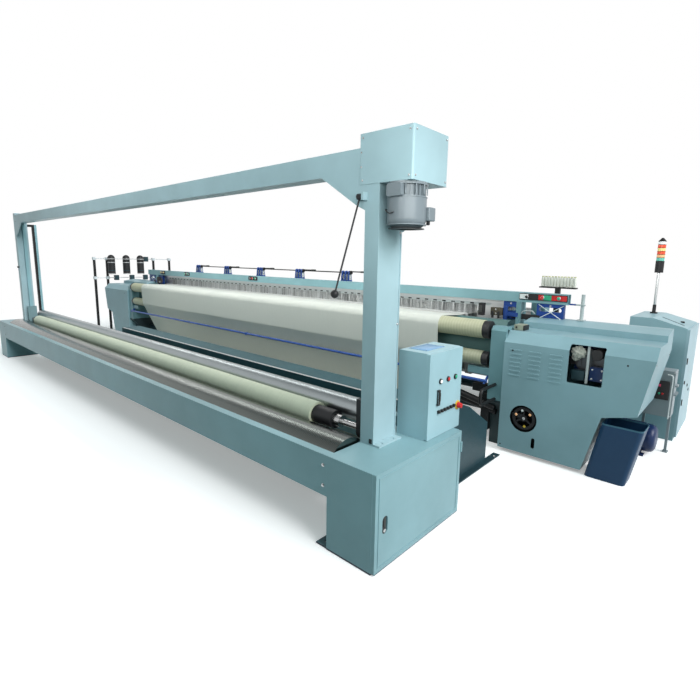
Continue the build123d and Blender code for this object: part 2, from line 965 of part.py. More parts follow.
# Heald frames: two rails, two stiles and the upright healds
for number in range(heald_count):
    frame_y = heald_first_y + number * heald_pitch
    with BuildPart() as heald_frame:
        with BuildSketch(Plane.XZ.offset(-frame_y - heald_rail / 2)):
            with Locations((0, heald_middle)):
                Rectangle(heald_length, heald_height)
                Rectangle(heald_window, heald_height - 2 * heald_rail_height, mode=Mode.SUBTRACT)
                with GridLocations(heald_length - heald_stile, 0, 2, 1):
                    Rectangle(heald_stile, heald_height)
        extrude(amount=heald_rail)
        with BuildSketch(Plane.XZ.offset(-frame_y - heald_wire / 2)):
            with Locations(((number - (heald_count - 1) / 2) * heald_shift, heald_middle)):
                with GridLocations((heald_window - heald_side) / heald_wires, 0, heald_wires, 1):
                    Rectangle(heald_wire * 3, heald_height - 2 * heald_lap)
        extrude(amount=heald_wire)
    save(heald_frame.part, f"heald_frame_{number + 1}")

# Top beam: a channel open downwards, its front face lipped, and the button stations
with BuildPart() as top_beam:
    with BuildSketch(Plane.YZ.offset(top_beam_left_x)):
        with Locations((top_beam_y, (top_beam_low_z + top_beam_high_z) / 2)):
            Rectangle(top_beam_depth, top_beam_high_z - top_beam_low_z)
            Rectangle(
                top_beam_depth - 2 * top_beam_wall,
                top_beam_high_z - top_beam_low_z - 2 * top_beam_wall,
                mode=Mode.SUBTRACT,
            )
    extrude(amount=top_beam_right_x - top_beam_left_x)
save(top_beam.part, "top_beam")

station_y = top_beam_y - top_beam_depth / 2 - station_depth / 2
station_z = (top_beam_low_z + top_beam_high_z) / 2 + station_rise
with BuildPart() as button_stations:
    for station_x, station_length in zip(station_places, station_lengths):
        with Locations((station_x, station_y, station_z)):
            Box(station_length, station_depth, station_height)
        with BuildSketch(Plane.XZ.offset(-station_y + station_depth / 2)):
            with Locations((station_x, station_z)):
                with GridLocations(station_length / 3, 0, 3, 1):
                    Circle(station_button_r)
        extrude(amount=station_button_out)
save(button_stations.part, "button_stations")

# Lever brackets on the rear rail: two cheeks on a foot, and one shaft with its levers
rail_top = rear_rail_z + rear_rail_size / 2
shaft_z = bracket_top_z - bracket_shaft_drop
bracket_low_y = rear_rail_y - bracket_depth / 2
bracket_high_y = rear_rail_y + bracket_depth / 2
eye_low_y = rear_rail_y - bracket_eye
eye_high_y = rear_rail_y + bracket_eye
with BuildPart() as lever_brackets:
    for number in range(bracket_count):
        bracket_x = bracket_first_x + number * bracket_pitch
        for cheek_x in (bracket_x - bracket_span, bracket_x, bracket_x + bracket_span):
            with BuildSketch(Plane.YZ.offset(cheek_x - bracket_cheek / 2)):
                with BuildLine():
                    Line((bracket_low_y, rail_top), (bracket_high_y, rail_top))
                    Line((bracket_high_y, rail_top), (eye_high_y, shaft_z))
                    ThreePointArc(
                        (eye_high_y, shaft_z),
                        (rear_rail_y, bracket_top_z + bracket_eye_rise),
                        (eye_low_y, shaft_z),
                    )
                    Line((eye_low_y, shaft_z), (bracket_low_y, rail_top))
                make_face()
                with Locations((rear_rail_y, shaft_z)):
                    Circle(lever_shaft_r + shaft_fit, mode=Mode.SUBTRACT)
            extrude(amount=bracket_cheek)
        with Locations((bracket_x, rear_rail_y, rail_top + bracket_sole / 2)):
            Box(2 * bracket_span + bracket_cheek, rear_rail_size, bracket_sole)
save(lever_brackets.part, "lever_brackets")

last_bracket_x = bracket_first_x + (bracket_count - 1) * bracket_pitch
with BuildPart() as bracket_levers:
    with BuildSketch(Plane.YZ.offset(bracket_first_x - bracket_span - lever_shaft_out)):
        with Locations((rear_rail_y, shaft_z)):
            Circle(lever_shaft_r)
    extrude(amount=last_bracket_x - bracket_first_x + 2 * (bracket_span + lever_shaft_out))
    for number in range(bracket_count):
        lever_x = bracket_first_x + number * bracket_pitch + bracket_span + bracket_cheek / 2 + lever_hub_gap
        with BuildSketch(Plane.YZ.offset(lever_x - lever_hub_half)):
            with Locations((rear_rail_y, shaft_z)):
                Circle(bracket_eye)
        extrude(amount=2 * lever_hub_half)
        with BuildSketch(Plane.YZ.offset(lever_x)):
            with Locations((rear_rail_y, shaft_z + lever_shaft_r + lever_r / 2)):
                Circle(lever_r)
        extrude(amount=lever_length)
save(bracket_levers.part, "bracket_levers")


# End covers: a bent sheet shell with a chamfer along its top and a stepped end
def cover_block(wall, reach):
    """The outer block of a cover, or the hollow inside it, which reaches out below."""
    low_x = frame_outer_x + cover_gap
    ledge_z = cover_knee_z + cover_chamfer
    back_y = cover_front_y + cover_chamfer + cover_ledge
    hood_z = ledge_z + cover_hood_rise
    lift = wall * 0.4142
    low_z = cover_bottom_z - reach
    low_run = reach * (cover_step_length - cover_low_length) / (cover_step_low_z - cover_bottom_z)
    with BuildPart() as piece:
        with BuildSketch(Plane.YZ.offset(low_x)):
            with BuildLine():
                Polyline(
                    (cover_front_y + wall, low_z),
                    (cover_front_y + wall, cover_knee_z - lift),
                    (cover_front_y + cover_chamfer + lift, ledge_z - wall),
                    (back_y + wall, ledge_z - wall),
                    (back_y + wall, hood_z - wall),
                    (back_y + cover_hood_depth, hood_z + cover_hood_slope - wall),
                    (back_y + cover_hood_depth + cover_hood_flat - wall, hood_z + cover_hood_slope - wall),
                    (back_y + cover_hood_depth + cover_hood_flat - wall, low_z),
                    close=True,
                )
            make_face()
        extrude(amount=cover_length)
        with BuildSketch(Plane.XZ.offset(-cover_hood_end)):
            with BuildLine():
                Polyline(
                    (low_x + wall, low_z),
                    (low_x + cover_low_length - wall - low_run, low_z),
                    (low_x + cover_step_length - wall, cover_step_low_z + wall),
                    (low_x + cover_step_high_x - wall, cover_step_high_z + wall),
                    (low_x + cover_length - wall, cover_knee_z),
                    (low_x + cover_length - wall, hood_z + 2 * cover_hood_slope),
                    (low_x + wall, hood_z + 2 * cover_hood_slope),
                    close=True,
                )
            make_face()
        extrude(amount=cover_hood_end - cover_front_y, mode=Mode.INTERSECT)
    return piece.part


cover_x = frame_outer_x + cover_gap
cover_shell = cover_block(0, 0) - cover_block(sheet, cover_bottom_z)
with BuildPart() as drive_cover:
    add(cover_shell)
    with BuildSketch(Plane.XZ.offset(-cover_front_y)):
        with Locations((cover_x + window_x + window_width / 2, window_low_z + window_height / 2)):
            RectangleRounded(window_width, window_height, wide_round)
    extrude(amount=-cover_chamfer, mode=Mode.SUBTRACT)
    with BuildSketch(Plane.XZ.offset(-cover_front_y)):
        with Locations((cover_x + wheel_x, wheel_z)):
            Circle(wheel_hole_r)
        with Locations((cover_x + slot_x, slot_z)):
            SlotOverall(slot_length, slot_width, rotation=90)
    extrude(amount=-2 * sheet, mode=Mode.SUBTRACT)
    with BuildSketch(Plane.XZ.offset(-cover_front_y)):
        for column in louvre_columns:
            for row in range(louvre_rows):
                with Locations((cover_x + column, louvre_top_z - row * louvre_pitch)):
                    SlotOverall(louvre_length, louvre_height)
    extrude(amount=louvre_rise)
save(drive_cover.part, "drive_cover")

with BuildPart() as left_cover:
    add(mirror(cover_shell, about=Plane.YZ))
save(left_cover.part, "left_cover")

# Castings that carry the top beam, on the side frames' posts and on the covers' hoods
hood_top = cover_knee_z + cover_chamfer + cover_hood_rise + cover_hood_slope
with BuildPart() as beam_castings:
    for casting_x, casting_width in zip(casting_places, casting_widths):
        casting_low = hood_top + seat if abs(casting_x) > frame_outer_x else hood_top - casting_web
        with BuildSketch(Plane.XZ.offset(-casting_y - casting_depth / 2)):
            with Locations((casting_x, (casting_low + top_beam_low_z - seat) / 2)):
                RectangleRounded(casting_width, top_beam_low_z - seat - casting_low, wide_round)
                with Locations((0, casting_web / 4)):
                    SlotOverall(casting_width - casting_web, casting_web, mode=Mode.SUBTRACT)
        extrude(amount=casting_depth)
        with Locations((casting_x, casting_y, casting_low + casting_sole / 2)):
            Box(casting_width, casting_depth + 2 * casting_sole_lip, casting_sole)
    with BuildSketch(Plane.XY.offset(hood_top + seat)):
        with Locations((guide_post_x, casting_y)):
            RectangleRounded(4 * guide_post_r, 4 * guide_post_r, fine_round)
    extrude(amount=edge_round)
    with BuildSketch(Plane.XY.offset(hood_top + seat)):
        with Locations((guide_post_x, casting_y)):
            Circle(guide_post_r)
    extrude(amount=guide_post_top - hood_top)
    with BuildSketch(Plane.YZ.offset(guide_post_x - guide_rod_back)):
        with Locations((casting_y - guide_post_r, guide_rod_z)):
            Circle(guide_rod_r)
    extrude(amount=guide_rod_length)
save(beam_castings.part, "beam_castings")

# Receiver unit behind the window and hand wheel bracket, both on the cover's inner wall
inner_wall_x = cover_x + sheet
wheel_centre_x = cover_x + wheel_x
with BuildPart() as receiver_unit:
    with BuildSketch(Plane.YZ.offset(inner_wall_x)):
        with Locations((receiver_rail_y, receiver_rail_z)):
            RectangleRounded(receiver_rail_size, receiver_rail_size, fine_round)
    extrude(amount=window_x + window_width)
    for disc_x, disc_r in receiver_places:
        with BuildSketch(Plane.XZ.offset(-receiver_rail_y + receiver_rail_size)):
            with Locations((cover_x + window_x + disc_x, receiver_rail_z + receiver_disc_rise)):
                Circle(disc_r)
        extrude(amount=-receiver_rail_size)
    with Locations(
        (
            cover_x + window_x + window_width / 2,
            receiver_rail_y + receiver_top_y,
            receiver_rail_z + receiver_top_z,
        )
    ):
        Box(window_width, receiver_top_depth, receiver_case / 2)
    with Locations(
        (
            cover_x + window_x + receiver_front,
            receiver_rail_y - receiver_front,
            receiver_rail_z + receiver_front_z,
        )
    ):
        Box(receiver_case / 4, receiver_front, receiver_case)
    with BuildSketch(Plane.YZ.offset(inner_wall_x)):
        with Locations((wheel_bearing_y, wheel_z)):
            Rectangle(wheel_bearing_length, 2 * wheel_hub_r)
    extrude(amount=wheel_centre_x - inner_wall_x)
    with BuildSketch(Plane.XZ.offset(-wheel_bearing_y - wheel_bearing_length / 2)):
        with Locations((wheel_centre_x, wheel_z)):
            Circle(wheel_hub_r)
    extrude(amount=wheel_bearing_length)
    with BuildSketch(Plane.XZ.offset(-wheel_bearing_y - wheel_bearing_length / 2)):
        with Locations((wheel_centre_x, wheel_z)):
            Circle(wheel_shaft_r + shaft_fit)
    extrude(amount=wheel_bearing_length, mode=Mode.SUBTRACT)
save(receiver_unit.part, "receiver_unit")

with BuildPart() as hand_wheel:
    with BuildSketch(Plane.XZ.offset(-wheel_y)):
        with Locations((wheel_centre_x, wheel_z)):
            Circle(wheel_r)
            Circle(wheel_r - 2 * wheel_rim, mode=Mode.SUBTRACT)
            Circle(wheel_hub_r)
            with PolarLocations(0, 3, start_angle=90):
                Rectangle(wheel_r - wheel_rim, wheel_rim, align=(Align.MIN, Align.CENTER))
    extrude(amount=wheel_rim)
    with BuildSketch(Plane.XZ.offset(-wheel_y + wheel_rim)):
        with Locations((wheel_centre_x, wheel_z)):
            Circle(wheel_shaft_r)
    extrude(amount=-wheel_bearing_length - 3 * wheel_rim)
save(hand_wheel.part, "hand_wheel")

# Waste bin: a leaning tub with rounded corners
bin_base = Plane.XY
bin_rim = Plane.XY.offset(bin_height)
with BuildPart() as waste_bin:
    with BuildSketch(bin_base):
        with Locations((bin_x + bin_width / 2, bin_y)):
            RectangleRounded(bin_width, bin_depth - 2 * bin_wall, bin_corner)
    with BuildSketch(bin_rim):
        with Locations((bin_x + bin_width / 2 + bin_lean, bin_y)):
            RectangleRounded(bin_width, bin_depth, bin_corner)
    loft()
    with BuildSketch(bin_base.offset(2 * bin_wall)):
        with Locations((bin_x + bin_width / 2, bin_y)):
            RectangleRounded(bin_width - 2 * bin_wall, bin_depth - 4 * bin_wall, bin_corner - bin_wall)
    with BuildSketch(bin_rim.offset(bin_wall)):
        with Locations((bin_x + bin_width / 2 + bin_lean, bin_y)):
            RectangleRounded(bin_width - 2 * bin_wall, bin_depth - 2 * bin_wall, bin_corner - bin_wall)
    loft(mode=Mode.SUBTRACT)
save(waste_bin.part, "waste_bin")

# Drive motor on its feet: ribbed body, flange and rounded cowl about an axis along X
motor_z = motor_r + motor_foot
motor_fan_x = motor_length - motor_cowl
motor_cowl_x = motor_length - motor_round
motor_cowl_r = motor_r - motor_rib / 2
motor_bend = motor_round * motor_bend_share
with BuildPart() as drive_motor:
    with BuildSketch(Plane.XZ):
        with BuildLine():
            Line((0, 0), (0, motor_r))
            Line((0, motor_r), (motor_flange, motor_r))
            Line((motor_flange, motor_r), (motor_flange, motor_r - motor_rib))
            Line((motor_flange, motor_r - motor_rib), (motor_fan_x, motor_r - motor_rib))
            Line((motor_fan_x, motor_r - motor_rib), (motor_fan_x, motor_cowl_r))
            Line((motor_fan_x, motor_cowl_r), (motor_cowl_x, motor_cowl_r))
            ThreePointArc(
                (motor_cowl_x, motor_cowl_r),
                (motor_length - motor_bend, motor_cowl_r - motor_bend),
                (motor_length, motor_cowl_r - motor_round),
            )
            Line((motor_length, motor_cowl_r - motor_round), (motor_length, 0))
            Line((motor_length, 0), (0, 0))
        make_face()
    revolve(axis=Axis.X)
    with BuildSketch(Plane.YZ.offset(motor_flange)):
        with PolarLocations(motor_r - motor_rib, motor_rib_count):
            Rectangle(motor_rib * motor_rib_share, motor_rib / 3)
    extrude(amount=motor_fan_x - motor_flange)
    with BuildSketch(Plane.XY.offset(-motor_z)):
        with GridLocations(0, motor_foot_spread * motor_r, 1, 2):
            with Locations((motor_length / 2, 0)):
                Rectangle(motor_length / 2, motor_r / 2)
    extrude(amount=motor_foot)
    with BuildSketch(Plane.XY.offset(motor_foot - motor_z)):
        with GridLocations(0, motor_base_spread * motor_r, 1, 2):
            with Locations((motor_length / 2, 0)):
                Rectangle(motor_length / 3, motor_r / 5)
    extrude(until=Until.NEXT)
save(drive_motor.part.moved(Location((motor_x, motor_y, motor_z))), "drive_motor")

# Operator box on two posts behind the drive motor
with BuildPart() as operator_box:
    with BuildSketch(Plane.XZ.offset(-box_y - box_depth / 2)):
        with Locations((box_x, box_low_z + box_height / 2)):
            RectangleRounded(box_width, box_height, edge_round)
    extrude(amount=box_depth)
    with BuildSketch(Plane.XY):
        with Locations((box_x, box_y + box_depth / 2 - box_leg / 2)):
            with GridLocations(box_width - 2 * box_leg, 0, 2, 1):
                Rectangle(box_leg, box_leg)
    extrude(amount=box_low_z + box_height / 2)
    with BuildSketch(Plane.XY):
        with Locations((box_x, box_y + box_depth / 2)):
            with GridLocations(box_width - 2 * box_leg, 0, 2, 1):
                RectangleRounded(2 * box_leg, 3 * box_leg, fine_round)
    extrude(amount=box_leg / 3)
    with BuildSketch(Plane.YZ.offset(box_x + box_width / 2)):
        with Locations((box_y, box_low_z + box_height * 0.68)):
            SlotOverall(box_depth * 0.5, box_leg)
        with Locations((box_y, box_low_z + box_height * 0.5)):
            with GridLocations(box_depth / 3, 0, 3, 1):
                Circle(box_leg / 2)
    extrude(amount=box_leg)
save(operator_box.part, "operator_box")

# Electric cabinet: a sheet shell with a sloping lid, open at its outer end for the door
electric_low_x = electric_x - electric_width / 2
electric_high_x = electric_x + electric_width / 2 - door_thick - seat
electric_front_y = electric_y - electric_depth / 2
electric_back_y = electric_y + electric_depth / 2
lid_fall = (electric_high_z - electric_low_z) / (electric_width - electric_flat)
with BuildPart() as electric_cabinet:
    with BuildSketch(Plane.XZ.offset(-electric_back_y)):
        with BuildLine():
            Polyline(
                (electric_low_x, 0),
                (electric_high_x, 0),
                (electric_high_x, electric_low_z + lid_fall * (door_thick + seat)),
                (electric_low_x + electric_flat, electric_high_z),
                (electric_low_x, electric_high_z),
                close=True,
            )
        make_face()
    extrude(amount=electric_depth)
    with BuildSketch(Plane.XZ.offset(-electric_back_y + electric_wall)):
        with BuildLine():
            Polyline(
                (electric_low_x + electric_wall, electric_plinth),
                (electric_high_x + 1, electric_plinth),
                (electric_high_x + 1, electric_low_z + lid_fall * door_thick - 2 * electric_wall),
                (electric_low_x + electric_flat, electric_high_z - 2 * electric_wall),
                (electric_low_x + electric_wall, electric_high_z - 2 * electric_wall),
                close=True,
            )
        make_face()
    extrude(amount=electric_depth - 2 * electric_wall, mode=Mode.SUBTRACT)
    with BuildSketch(Plane.XY):
        with Locations((electric_x - electric_wall, electric_y)):
            Rectangle(electric_width - 3 * electric_plinth, electric_depth - 3 * electric_plinth)
    extrude(amount=electric_plinth - 3 * electric_wall, mode=Mode.SUBTRACT)
save(electric_cabinet.part, "electric_cabinet")

electric_door_x = electric_high_x + seat
with BuildPart() as electric_door:
    with BuildSketch(Plane.YZ.offset(electric_door_x)):
        with Locations((electric_y, (electric_plinth + electric_low_z) / 2)):
            RectangleRounded(electric_depth, electric_low_z - electric_plinth, 8)
    extrude(amount=door_thick)
    with BuildSketch(Plane.YZ.offset(electric_door_x)):
        with Locations((electric_y, (electric_plinth + electric_low_z) / 2)):
            Rectangle(electric_depth - 50, electric_low_z - electric_plinth - 50)
    extrude(amount=door_thick - electric_wall, mode=Mode.SUBTRACT)
    with BuildSketch(Plane.YZ.offset(electric_door_x + door_thick)):
        for lock_z in (electric_low_z * 0.35, electric_low_z * 0.72):
            with Locations((electric_front_y + 50, lock_z)):
                SlotOverall(60, 26, rotation=90)
        with Locations((electric_front_y + 50, electric_low_z * 0.53)):
            Circle(16)
    extrude(amount=8)
save(electric_door.part, "electric_door")

# Signal beacon: foot, pole, black base and a stack of lamps with a cap
beacon_lamps = 6
beacon_taper = 40
lamp_step = (beacon_lamp_top - beacon_cap - beacon_base_top) / beacon_lamps
with BuildPart() as signal_beacon:
    with BuildSketch(Plane.XY.offset(electric_high_z + seat)):
        with Locations((beacon_x, beacon_y)):
            Circle(beacon_lamp_r)
    extrude(amount=12)
    with BuildSketch(Plane.XY.offset(electric_high_z + seat)):
        with Locations((beacon_x, beacon_y)):
            Circle(beacon_pole_r)
    extrude(amount=beacon_pole_top - electric_high_z)
    with BuildSketch(Plane.XY.offset(beacon_pole_top)):
        with Locations((beacon_x, beacon_y)):
            Circle(beacon_lamp_r + 4)
    extrude(amount=beacon_base_top - beacon_pole_top)
    for number in range(beacon_lamps):
        with BuildSketch(Plane.XY.offset(beacon_base_top + number * lamp_step)):
            with Locations((beacon_x, beacon_y)):
                Circle(beacon_lamp_r)
        extrude(amount=lamp_step - 3)
        with BuildSketch(Plane.XY.offset(beacon_base_top + (number + 1) * lamp_step - 3)):
            with Locations((beacon_x, beacon_y)):
                Circle(beacon_lamp_r + 2)
        extrude(amount=3)
    with BuildSketch(Plane.XY.offset(beacon_lamp_top - beacon_cap)):
        with Locations((beacon_x, beacon_y)):
            Circle(beacon_lamp_r + 3)
    extrude(amount=beacon_cap, taper=beacon_taper)
save(signal_beacon.part, "signal_beacon")

# Weft supply stand beyond the left cover, with its feeders
stand_low_y = min(stand_ys)
stand_high_y = max(stand_ys)
with BuildPart() as weft_stand:
    for stand_y in stand_ys:
        with BuildSketch(Plane.XY):
            with Locations((stand_x, stand_y)):
                Circle(stand_post_r)
        extrude(amount=stand_top_z)
        with BuildSketch(Plane.XY):
            with Locations((stand_x, stand_y)):
                Circle(stand_base_r)
        extrude(amount=8)
        with Locations((stand_x, stand_y, stand_rod_low_z), (stand_x, stand_y, stand_rod_high_z)):
            Box(stand_joint, stand_joint, stand_joint)
    with BuildSketch(Plane.XZ.offset(-stand_high_y)):
        for rod_z in (stand_rod_low_z, stand_rod_high_z):
            with Locations((stand_x, rod_z)):
                Circle(stand_rod_r)
    extrude(amount=stand_high_y - stand_low_y)
save(weft_stand.part, "weft_stand")

feeder_x = stand_x + feeder_arm
with BuildPart() as weft_feeders:
    for feeder_y in feeder_ys:
        with BuildSketch(Plane.XY.offset(feeder_low_z)):
            with Locations((feeder_x, feeder_y)):
                Circle(feeder_r)
        extrude(amount=feeder_top_z - feeder_r - feeder_low_z)
        with Locations((feeder_x, feeder_y, feeder_top_z - feeder_r)):
            Sphere(feeder_r)
        with BuildSketch(Plane.YZ.offset(stand_x + stand_rod_r + seat)):
            with Locations((feeder_y, stand_rod_high_z)):
                RectangleRounded(feeder_r / 2, feeder_r / 2, 4)
        extrude(amount=feeder_arm - feeder_r / 2)
save(weft_feeders.part, "weft_feeders")

# Bobbin rack standing on the right side frame
rack_low_z = back_rest_z + frame_lug + seat
rack_x = frame_inner_x + frame_thick / 2
with BuildPart() as bobbin_rack:
    with BuildSketch(Plane.XY.offset(rack_low_z)):
        with Locations((rack_x, bobbin_tray_y)):
            RectangleRounded(50, 50, 6)
    extrude(amount=bobbin_tray_z - rack_low_z)
    with BuildSketch(Plane.XY.offset(bobbin_tray_z)):
        with Locations((rack_x, bobbin_tray_y)):
            RectangleRounded(bobbin_tray_length, bobbin_tray_depth, edge_round)
    extrude(amount=14)
    with BuildSketch(Plane.XY.offset(bobbin_tray_z + 14)):
        with Locations((rack_x, bobbin_tray_y)):
            with GridLocations(2.2 * bobbin_r, 0, bobbin_count, 1):
                Circle(bobbin_r)
    extrude(amount=bobbin_height, taper=2)
save(bobbin_rack.part, "bobbin_rack")

# Foot rail: a bent tube in front of the right side frame
rail_x = frame_inner_x + frame_thick / 2
with BuildPart() as foot_rail:
    with BuildLine() as rail_path:
        FilletPolyline(
            (rail_x, frame_front_y - seat, foot_rail_high_z),
            (rail_x, foot_rail_y, foot_rail_high_z),
            (rail_x, foot_rail_y, foot_rail_low_z),
            (rail_x, frame_front_y - seat, foot_rail_low_z),
            radius=3 * foot_rail_r,
        )
    with BuildSketch(Plane.XZ.offset(-frame_front_y + seat)):
        with Locations((rail_x, foot_rail_high_z)):
            Circle(foot_rail_r)
    sweep()
save(foot_rail.part, "foot_rail")

# Cloth winder: the drive cabinet, a sheet box open at its outer end for the door, with
# the bearing block of the rear roller on its top
winder_right = winder_x + winder_half
winder_plane = Plane.YZ.offset(winder_x)
cabinet_low_x = winder_right - cabinet_width
cabinet_middle_y = winder_y + cabinet_depth / 2
stand_bores = (
    (drum_centre[0], drum_centre[1], drum_journal_r),
    (winder_y + guide_roller_y, guide_roller_z, journal_r),
)
with BuildPart() as winder_cabinet:
    with BuildSketch(Plane.YZ.offset(cabinet_low_x)):
        with Locations((cabinet_middle_y, cabinet_height / 2)):
            Rectangle(cabinet_depth, cabinet_height)
    extrude(amount=cabinet_width - door_thick - seat)
    with BuildSketch(Plane.YZ.offset(cabinet_low_x + cabinet_sheet)):
        with Locations((cabinet_middle_y, cabinet_height / 2)):
            Rectangle(cabinet_depth - 2 * cabinet_sheet, cabinet_height - 2 * cabinet_sheet)
    extrude(amount=cabinet_width, mode=Mode.SUBTRACT)
    with BuildSketch(Plane.YZ.offset(cabinet_low_x + bearing_inset)):
        with Locations((rear_centre[0], (cabinet_height + bearing_top) / 2)):
            RectangleRounded(bearing_depth, bearing_top - cabinet_height, edge_round)
        with Locations((rear_centre[0], cabinet_height + bearing_hollow_rise)):
            Rectangle(bearing_depth, bearing_hollow)
        with Locations(rear_centre):
            Circle(journal_r + shaft_fit, mode=Mode.SUBTRACT)
    extrude(amount=bearing_width)
    with BuildSketch(Plane.YZ.offset(cabinet_low_x)):
        for bore_y, bore_z, bore_r in stand_bores:
            with Locations((bore_y, bore_z)):
                Circle(bore_r + shaft_fit)
    extrude(amount=cabinet_sheet, mode=Mode.SUBTRACT)
    with BuildSketch(Plane.XY):
        with Locations((cabinet_low_x - floor_flange + cabinet_sheet, winder_y + cabinet_sheet)):
            Rectangle(floor_flange, floor_flange, align=(Align.MIN, Align.MIN))
        with Locations((cabinet_low_x - floor_flange / 2, winder_y + floor_flange / 2)):
            Circle(base_plate_hole, mode=Mode.SUBTRACT)
    extrude(amount=base_plate_thick)
save(winder_cabinet.part, "winder_cabinet")

hinge_y = winder_y + cabinet_depth - 2
with BuildPart() as cabinet_door:
    with BuildSketch(Plane.YZ.offset(winder_right - door_thick)):
        with Locations((cabinet_middle_y, cabinet_height / 2 + 3)):
            RectangleRounded(cabinet_depth - 4, cabinet_height - 6, 6)
    extrude(amount=door_thick)
    with BuildSketch(Plane.YZ.offset(winder_right)):
        with Locations((cabinet_middle_y, cabinet_height / 2 + 3)):
            Rectangle(cabinet_depth - 4 * door_margin, cabinet_height - 4 * door_margin)
            Rectangle(cabinet_depth - 5 * door_margin, cabinet_height - 5 * door_margin, mode=Mode.SUBTRACT)
    extrude(amount=3)
    with BuildSketch(Plane.YZ.offset(winder_right)):
        with Locations((winder_y + 86, cabinet_height * 0.46)):
            SlotOverall(100, 44, rotation=90)
    extrude(amount=-10, mode=Mode.SUBTRACT)
    with BuildSketch(Plane.XY.offset(420)):
        with Locations((winder_right, hinge_y)):
            Circle(9)
    extrude(amount=65)
save(cabinet_door.part, "cabinet_door")

# Winder frame: the left stand, the front channel and the rear box beam, welded together
beam_low_z = cabinet_height - front_beam_height
left_inner_x = 2 * winder_x - cabinet_low_x
beam_length = cabinet_low_x - seat - left_inner_x
front_beam_middle = winder_y + front_beam_flange / 2
beam_middle_z = cabinet_height - front_beam_height / 2
beam_hollow_height = front_beam_height - 2 * front_beam_web
with BuildPart() as winder_frame:
    with BuildSketch(Plane.YZ.offset(left_inner_x)):
        with Locations((cabinet_middle_y, cabinet_height / 2)):
            Rectangle(cabinet_depth, cabinet_height)
    extrude(amount=-cabinet_width)
    with BuildSketch(Plane.YZ.offset(left_inner_x - cabinet_sheet)):
        with Locations((cabinet_middle_y, cabinet_height / 2 - cabinet_sheet)):
            Rectangle(cabinet_depth - 2 * cabinet_sheet, cabinet_height)
    extrude(amount=2 * cabinet_sheet - cabinet_width, mode=Mode.SUBTRACT)
    with BuildSketch(Plane.YZ.offset(left_inner_x - bearing_inset)):
        with Locations((rear_centre[0], (cabinet_height + bearing_top) / 2)):
            RectangleRounded(bearing_depth, bearing_top - cabinet_height, edge_round)
        with Locations((rear_centre[0], cabinet_height + bearing_hollow_rise)):
            Rectangle(bearing_depth, bearing_hollow)
        with Locations(rear_centre):
            Circle(journal_r + shaft_fit, mode=Mode.SUBTRACT)
    extrude(amount=-bearing_width)
    with BuildSketch(Plane.YZ.offset(left_inner_x)):
        for bore_y, bore_z, bore_r in stand_bores:
            with Locations((bore_y, bore_z)):
                Circle(bore_r + shaft_fit)
    extrude(amount=-cabinet_sheet, mode=Mode.SUBTRACT)
    with BuildSketch(Plane.YZ.offset(left_inner_x)):
        with Locations((front_beam_middle, beam_middle_z)):
            Rectangle(front_beam_flange, front_beam_height)
        with Locations((front_beam_middle + front_beam_web, beam_middle_z)):
            Rectangle(front_beam_flange, beam_hollow_height, mode=Mode.SUBTRACT)
        with Locations((winder_y + rear_beam_y + rear_beam_depth / 2, beam_middle_z)):
            Rectangle(rear_beam_depth, front_beam_height)
            Rectangle(rear_beam_depth - 2 * front_beam_web, beam_hollow_height, mode=Mode.SUBTRACT)
    extrude(amount=beam_length)
save(winder_frame.part, "winder_frame")

# Lift posts: boxes on base plates, each with a sunk cover plate on its outer face
def lift_post(depth):
    """A post of that depth, its front at the front of the lift."""
    middle_y = post_front_y + depth / 2
    with BuildPart() as piece:
        with BuildSketch(Plane.XY.offset(cabinet_height + seat)):
            with Locations((post_x + post_width / 2, middle_y)):
                Rectangle(post_width, depth)
                Rectangle(post_width - 2 * post_wall, depth - 2 * post_wall, mode=Mode.SUBTRACT)
            with Locations((post_x + post_width, middle_y)):
                Rectangle(post_wall, depth - 2 * post_wall, mode=Mode.SUBTRACT)
        extrude(amount=post_top - cabinet_height)
        with BuildSketch(Plane.XY.offset(cabinet_height + seat)):
            with Locations((post_x + base_plate_width / 2, middle_y)):
                Rectangle(base_plate_width, depth)
            with Locations((post_x + (post_width + base_plate_width) / 2, middle_y)):
                with GridLocations(0, depth / 2, 1, 2):
                    Circle(base_plate_hole, mode=Mode.SUBTRACT)
        extrude(amount=base_plate_thick)
    return piece.part


post_x = winder_right - post_inset
post_front_y = winder_y + post_y
post_middle_y = post_front_y + post_depth / 2
feeler_pin_y = post_front_y - feeler_lug / 2
right_blank = lift_post(post_depth)
with BuildPart() as right_post:
    add(right_blank)
    with BuildSketch(Plane.XZ.offset(-post_front_y)):
        with Locations((post_x + post_wall, feeler_pivot_z)):
            RectangleRounded(2 * post_wall, feeler_lug + 6, 4)
    extrude(amount=feeler_lug)
    with BuildSketch(Plane.YZ.offset(post_x)):
        with Locations((feeler_pin_y, feeler_pivot_z)):
            Circle(feeler_pin_r)
    extrude(amount=-feeler_pin_length)
save(right_post.part, "right_post")
save(lift_post(left_post_depth).mirror(winder_plane), "left_post")

# Feeler arm hanging on the pin: boss, thin rod and ball
with BuildPart() as feeler_arm:
    with BuildSketch(Plane.YZ.offset(-feeler_boss_length / 2)):
        Circle(feeler_boss_r)
        Circle(feeler_pin_r + shaft_fit, mode=Mode.SUBTRACT)
    extrude(amount=feeler_boss_length)
    with BuildSketch(Plane.XY.offset(-feeler_pin_r - 3)):
        Circle(feeler_r)
    extrude(amount=feeler_pin_r + 3 - feeler_length)
    with Locations((0, 0, -feeler_length)):
        Sphere(feeler_ball_r)
feeler_x = post_x - feeler_pin_length / 2
save(
    feeler_arm.part.moved(Location((feeler_x, feeler_pin_y, feeler_pivot_z), (feeler_lean, 0, 0))),
    "feeler_arm",
)

